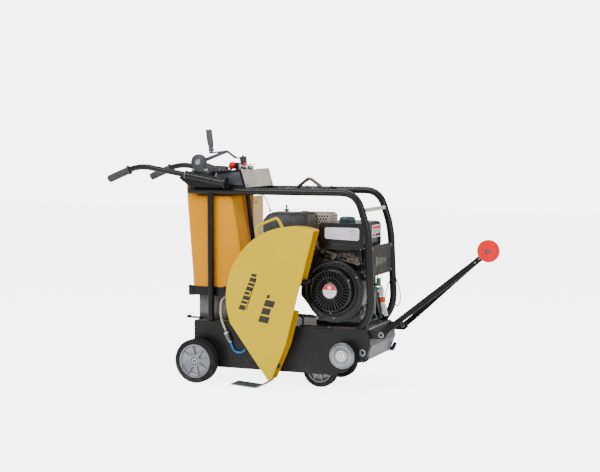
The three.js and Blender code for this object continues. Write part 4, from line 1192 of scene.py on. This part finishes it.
# ------------------------------------------------------------------ chassis
def chassis_details():
    studs = Build()
    for side in (NEAR, FAR):
        studs.turned([(7.6, 0), (16, 0), (16.8, 1.2), (16, 4.2), (9, 4.6), (7.6, 3.2), (7.6, 0)],
                     (780, side * 178, 175), (0, side, 0), 44)
        studs.turned([(5.6, 0), (13.4, 0), (13.8, 1), (13, 3.4), (6.6, 3.6), (5.6, 0)],
                     (863, side * 170.6, 257),
                     (0, side, 0), 40)
        studs.turned(ring(5.0, 10.5, 5), (863, side * 147.0, 257), (0, -side, 0), 6)
    for x in (-24, 330, 620, 770):
        for side in (NEAR, FAR):
            studs.turned([(0, 0), (6, 0), (5.4, 2.6), (0, 3.2)], (x, side * 168, 276), UP, 20)
    studs.piece("chassis_bolts", "zinc", "zinc")
    # Near-black discs in the bolt holes: painted shade inside them.
    holes = Build()
    for side in (NEAR, FAR):
        holes.turned(plug(7.6, 1.6), (780, side * 178, 175), (0, side, 0), 30)
        holes.turned(plug(5.6, 1.6), (863, side * 170.6, 257), (0, side, 0), 24)
    for x, z in ((755, 148), (742, 140)):
        holes.turned(plug(3.4, 1.0), (x, -178, z), RIGHT, 20)
    holes.piece("chassis_bolt_holes", "dark_hole", "frame_paint")
    # A grey skin on the lower front faces of the black nose: painted reflection of the floor on those
    # downward-facing faces.
    nose = Build()
    nose.prism([(793.8, 143), (795.4, 142.4), (818.0, 205), (816.4, 205.8)], -160, 172, "xz", 0.4, 1)
    nose.prism([(756, 126.0), (757, 124.6), (793.4, 137.4), (792.6, 139.2)], -160, 172, "xz", 0.4, 1)
    nose.piece("nose_plate", "front_grey", "panel_paint")
    gusset = Build()
    gusset.prism([(790, 132), (812, 136), (826, 168), (812, 176)], 166, 178, "xz", 2.2)
    gusset.prism([(772, 126), (802, 138), (812, 168), (800, 150)], -178.6, -172, "xz", 1.0)
    gusset.block(560, 640, -184, -178, 262, 274, 2.4)
    for side in (NEAR, FAR):
        gusset.tube([(-36, side * 177.4, 275), (794, side * 177.4, 275)], 1.9, 10)
    gusset.tube([(-36.4, -176, 275), (-36.4, 176, 275)], 1.9, 10)
    gusset.piece("chassis_gussets", "frame_paint", "frame_paint")
    # A pale rod along the deck's front edge: painted highlight on that edge.
    strip = Build()
    strip.tube([(797.4, -150, 275.0), (797.4, 150, 275.0)], 3.0, 16)
    strip.piece("deck_edge_highlight", "rim_cast", "zinc")


def clamp_on_deck():
    clamp = Build()
    clamp.tube([(452, -152, 321), (462, -152, 322), (538, -149, 320), (548, -149, 318)], [4, 7.4, 7.4, 4],
               20)
    clamp.turned([(0, 0), (10, 0), (11, 2), (11, 12), (8, 15), (0, 15)], (452, -152, 321), BACK, 24)
    clamp.turned([(0, 0), (9, 0), (8, 3), (4.6, 5), (4.6, 38), (7.4, 40), (7.4, 48), (0, 48)],
                 (489, -150, 277), UP, 28)
    clamp.turned([(0, 0), (8, 0), (8, 12), (6, 14), (0, 14)], (489, -150, 318), RIGHT, 24)
    clamp.block(474, 600, -156, -138, 276.4, 280.4, 1.4)
    clamp.piece("guard_clamp", "frame_paint", "frame_paint")


def pedestal_and_tray():
    skin = Build()
    for y0, y1 in ((-107.4, -105.2), (105.2, 107.4)):
        skin.block(-45, 91, y0, y1, 278, 387, 1.0)
    skin.block(-46.6, -44.4, -106, 106, 278, 387, 1.0)
    skin.block(90.2, 92.4, -106, 106, 278, 387, 1.0)
    skin.piece("pedestal_skin", "cast_grey", "rim_cast")
    tray = Build()
    for x0, x1 in ((-82.4, -58), (95, 119.4)):
        for y0, y1 in ((-144.6, -120), (120, 144.6)):
            tray.block(x0, x1, y0, y1, 387.4, 391, 1.0)
            xo = -82.6 if x0 < 0 else 117.2
            yo = -144.8 if y0 < 0 else 142.2
            tray.block(xo, xo + 2.4, y0, y1, 389, 434, 0.8)
            tray.block(x0, x1, yo, yo + 2.4, 389, 434, 0.8)
    tray.piece("tray_corners", "frame_paint", "frame_paint")


def shield_details():
    # Near-black marks where the shield's slots are: painted shade inside them.
    slots = Build()
    for y in (46, 62):
        slots.prism([(y - 3, 806), (y + 3, 806), (y + 3, 816), (y - 3, 816)], 170.4, 171.2, "yz", 0.8, 1)
    slots.piece("shield_slots", "dark_hole", "panel_paint")
    rivets = Build()
    for y in (36, 130):
        for z in (300, 480, 660):
            rivets.turned([(0, 0), (4, 0), (3, 1.8), (0, 2.2)], (170.4, y, z), AHEAD, 18)
    rivets.piece("shield_rivets", "zinc", "zinc")


def tank_cap_details():
    def knurl(angle, radius, distance):
        knurled = 2 < distance < 12 and radius > 20
        return radius - (1.3 * (0.5 + 0.5 * math.cos(20 * angle)) if knurled else 0)
    cap = Build().turned([(14, -10), (14, 0), (22.6, 0.2), (23, 2), (23, 10), (21, 13), (12, 14), (10, 12.6),
                          (0, 12.4)],
                         (-72, 0, 908.6), UP, 80, knurl)
    cap.piece("knurled_tank_cap", "black_plastic", "black_plastic", "tank_cap", ["tank_cap"])
    neck = Build().turned([(15.2, 0), (21, 0), (21.6, 1), (21, 3), (15.2, 3), (15.2, 0)], (-72, 0, 903.4),
                          UP, 48)
    neck.piece("tank_neck", "tank_plastic", "tank_plastic")


# ------------------------------------------------------------------ hoses
def hoses():
    y = -185.5
    hose = Build().tube(eased_path([(103, -146, 384), (101, -182, 372, 16), (97, y, 300, 40),
                                    (126, y, 236.5)], 16), 5, 24)
    hose.piece("clear_hose", "clear_pvc", "clear_pvc", "frame", ["supply_hose"])
    blue = Build().tube(eased_path([(148.4, y, 187.2), (168, y, 142, 22), (206, y, 140, 20), (226, y, 158)],
                                   16), 5, 24)
    blue.piece("blue_loop", "blue_rubber", "blue_rubber", "frame", ["blue_hose"])
    along = Vector((137 - 148, 0, 211.5 - 188)).normalized()
    clips = Build()
    clips.turned(ring(5.2, 7.2, 6), Vector((128, y, 234)), along, 32)
    clips.turned([(7, 0), (10.4, 0), (11, 1), (11, 5), (7, 6), (7, 0)], Vector((146, y - 2, 192)), along, 32)
    clips.turned(ring(5, 8, 8), (103, -146.5, 384), LEFT, 6)
    for k in range(5):
        clips.turned([(11.4, 0), (12.1, 0.4), (12.1, 1.6), (11.4, 2)],
                     Vector((141.5, y - 4, 203)) + along * 3.6 * k, along, 36)
    clips.piece("hose_clips", "zinc", "zinc")
    collar = Build()
    collar.turned([(9.2, 0), (10.4, 0.6), (10.4, 7), (9.2, 7.6)], Vector((131.5, y - 4, 224)), along, 32)
    collar.turned(ring(5.2, 7.4, 5), Vector((149.8, y, 185)), along, 28)
    collar.piece("connector_collar", "label_white", "clear_pvc")
    valve = Build()
    valve.turned([(0, 0), (8.5, 0), (8.5, 10), (6, 12), (0, 12)], (103, -140, 384), RIGHT, 24)
    valve.piece("tank_outlet", "black_plastic", "black_plastic")


def cable():
    sheath = Build().tube(eased_path([(206, -30, 886), (226, -30, 862, 16), (262, -30, 838, 40),
                                      (281, -30, 772.5)], 16),
                          2.5, 16)
    sheath.piece("cable_sheath", "dark_hole", "black_plastic", "frame", ["throttle_cable"])
    ends = Build()
    ends.turned([(0, 0), (4, 0), (4, 10), (3, 14), (0, 14)], (281, -30, 772.6), (-0.2, 0, 1), 20)
    ends.piece("cable_end", "zinc", "zinc")


# ------------------------------------------------------------------ front guide
def guide():
    tilt = math.radians(-40.35)

    def arm(x, y, z):
        return Vector((863 + x * math.cos(tilt) + z * math.sin(tilt), y,
                       257 - x * math.sin(tilt) + z * math.cos(tilt)))
    up = (arm(0, 0, 1) - arm(0, 0, 0)).normalized()
    wheel_piece = Build().turned([
        (5.4, -10), (12, -10), (14, -7.5), (38, -7.5), (41, -10), (45, -10), (48.1, -7.8), (48.9, -4.5),
        (48.9, 4.5),
        (48.1, 7.8), (45, 10), (41, 10), (38, 7.5), (14, 7.5), (12, 10), (5.4, 10), (5.4, -10)],
        arm(567, -13, 0), LEFT, 96)
    wheel_piece.piece("dished_guide_wheel", "red_plastic", "red_plastic", "guide_wheel", ["guide_wheel"])
    bolt = Build()
    bolt.turned([(0, 0), (10.5, 0), (10.8, 0.8), (10, 1.6), (0, 1.6)], arm(567, -23.3, 0), RIGHT, 32)
    bolt.turned([(0, 1.6), (6, 1.6), (6, 6.2), (5, 7), (0, 7)], arm(567, -23.3, 0), RIGHT, 6)
    for x in (486, 512):
        bolt.turned([(0, 0), (5, 0), (4.4, 3), (0, 3.4)], arm(x, -2.4, 0), RIGHT, 20)
        bolt.turned([(0, 0), (5, 0), (5, 3.6), (0, 3.8)], arm(x, 10.2, 0), LEFT, 6)
    bolt.piece("guide_bolts", "zinc", "zinc", "guide_arm")
    bosses = Build()
    for side in (NEAR, FAR):
        bosses.turned(ring(7, 12.6, 2.4), (863, side * 158.6, 257), (0, -side, 0), 32)
        bead(bosses, arm(62, side * 162, 0), up, 3.2, 1.0, 10)
    bosses.piece("guide_bosses", "frame_paint", "frame_paint", "guide_arm")


# ------------------------------------------------------------------ front plate, lifting bar and belt guard
def plate_and_bracket():
    marks = Build()
    for k, (y0, wide, tall) in enumerate(((-84, 20, 44), (-58, 8, 34), (-44, 8, 34), (-30, 8, 34),
                                          (-16, 12, 30), (2, 8, 28),
                                          (16, 8, 26), (30, 8, 26), (44, 10, 24))):
        marks.prism([(y0, 566 - tall / 2), (y0 + wide, 566 - tall / 2), (y0 + wide + 3, 566 + tall / 2),
                     (y0 + 3, 566 + tall / 2)], 807.0, 807.8, "yz", 0.2, 1)
    marks.piece("plate_print", "print_dim", "frame_paint")
    bolts = Build()
    for y in (-132, 132):
        for z in (516, 626):
            bolts.bolt((807, y, z), AHEAD, 4.2, 3.6)
    for x in (403, 523):
        for y in (-120, 120):
            bolts.bolt((x, y, 886.2), UP, 5.4, 4.6)
    bolts.piece("plate_bolts", "zinc", "zinc")
    eye = Build()
    for y in (-6, 6):
        eye.tube(eased_path([(398, y, 884), (460, y, 931, 12), (528, y, 884)], 8), 6.2, 20)
    eye.piece("lifting_bars", "worn_steel", "frame_paint")
    bolts = Build()
    for x, z in ((576, 440), (680, 440), (628, 492), (702, 112), (702 + 52, 164), (702 - 52, 164)):
        bolts.bolt((x, 234.2, z), LEFT, 4.6, 4.2)
    bolts.piece("belt_guard_bolts", "zinc", "zinc")
    ribs = Build()
    for t in (0.24, 0.4, 0.56, 0.72):
        x, z = 628 + 74 * t, 440 - 276 * t
        ribs.block(x - 34, x + 34, 233.4, 236.4, z - 3, z + 3, 1.4)
    ribs.piece("belt_guard_louvres", "frame_paint", "frame_paint")


def running_gear_details():
    collars = Build()
    for y in (-152, 152):
        collars.turned(ring(14.2, 20, 9), (385, y - 4.5, 165), LEFT, 36)
    for y in (-94, 118):
        collars.turned(ring(9.2, 13.6, 6), (563, y - 3, 80), LEFT, 32)
    for y in (-146.6, 170.6):
        collars.turned([(0, 0), (9, 0), (9, 4), (7, 5), (0, 5)], (563, y, 80), (0, 1 if y > 0 else -1, 0),
                       32)
    collars.piece("swing_collars", "zinc", "zinc", "swing")
    threads = Build()
    for k in range(26):
        threads.turned([(6.6, 0), (7.7, 1.1), (6.6, 2.2)], crank_point(0, 0, -740 - 5.6 * k), SCREW_AXIS, 28)
    threads.piece("screw_thread", "zinc", "zinc", "crank")
    pedal = Build()
    for k in range(6):
        pedal.block(-92 + 9 * k, -88 + 9 * k, -137, -113, 284.6, 286.6, 0.8)
    pedal.piece("pedal_tread", "frame_paint", "frame_paint", "brake_pedal")


guard_details()
guard_print()
spindle_details()
chassis_details()
clamp_on_deck()
pedestal_and_tray()
shield_details()
tank_cap_details()
hoses()
cable()
guide()
plate_and_bracket()
running_gear_details()


# ------------------------------------------------------------------ floor and finish
floor_mesh = bpy.data.meshes.new("floor")
reach = 14
floor_mesh.from_pydata([(-reach, -reach, 0), (reach, -reach, 0), (reach, reach, 0), (-reach, reach, 0)], [],
                       [[0, 1, 2, 3]])
floor_mesh.materials.append(floor_material())
floor = bpy.data.objects.new("floor", floor_mesh)
bpy.context.scene.collection.objects.link(floor)
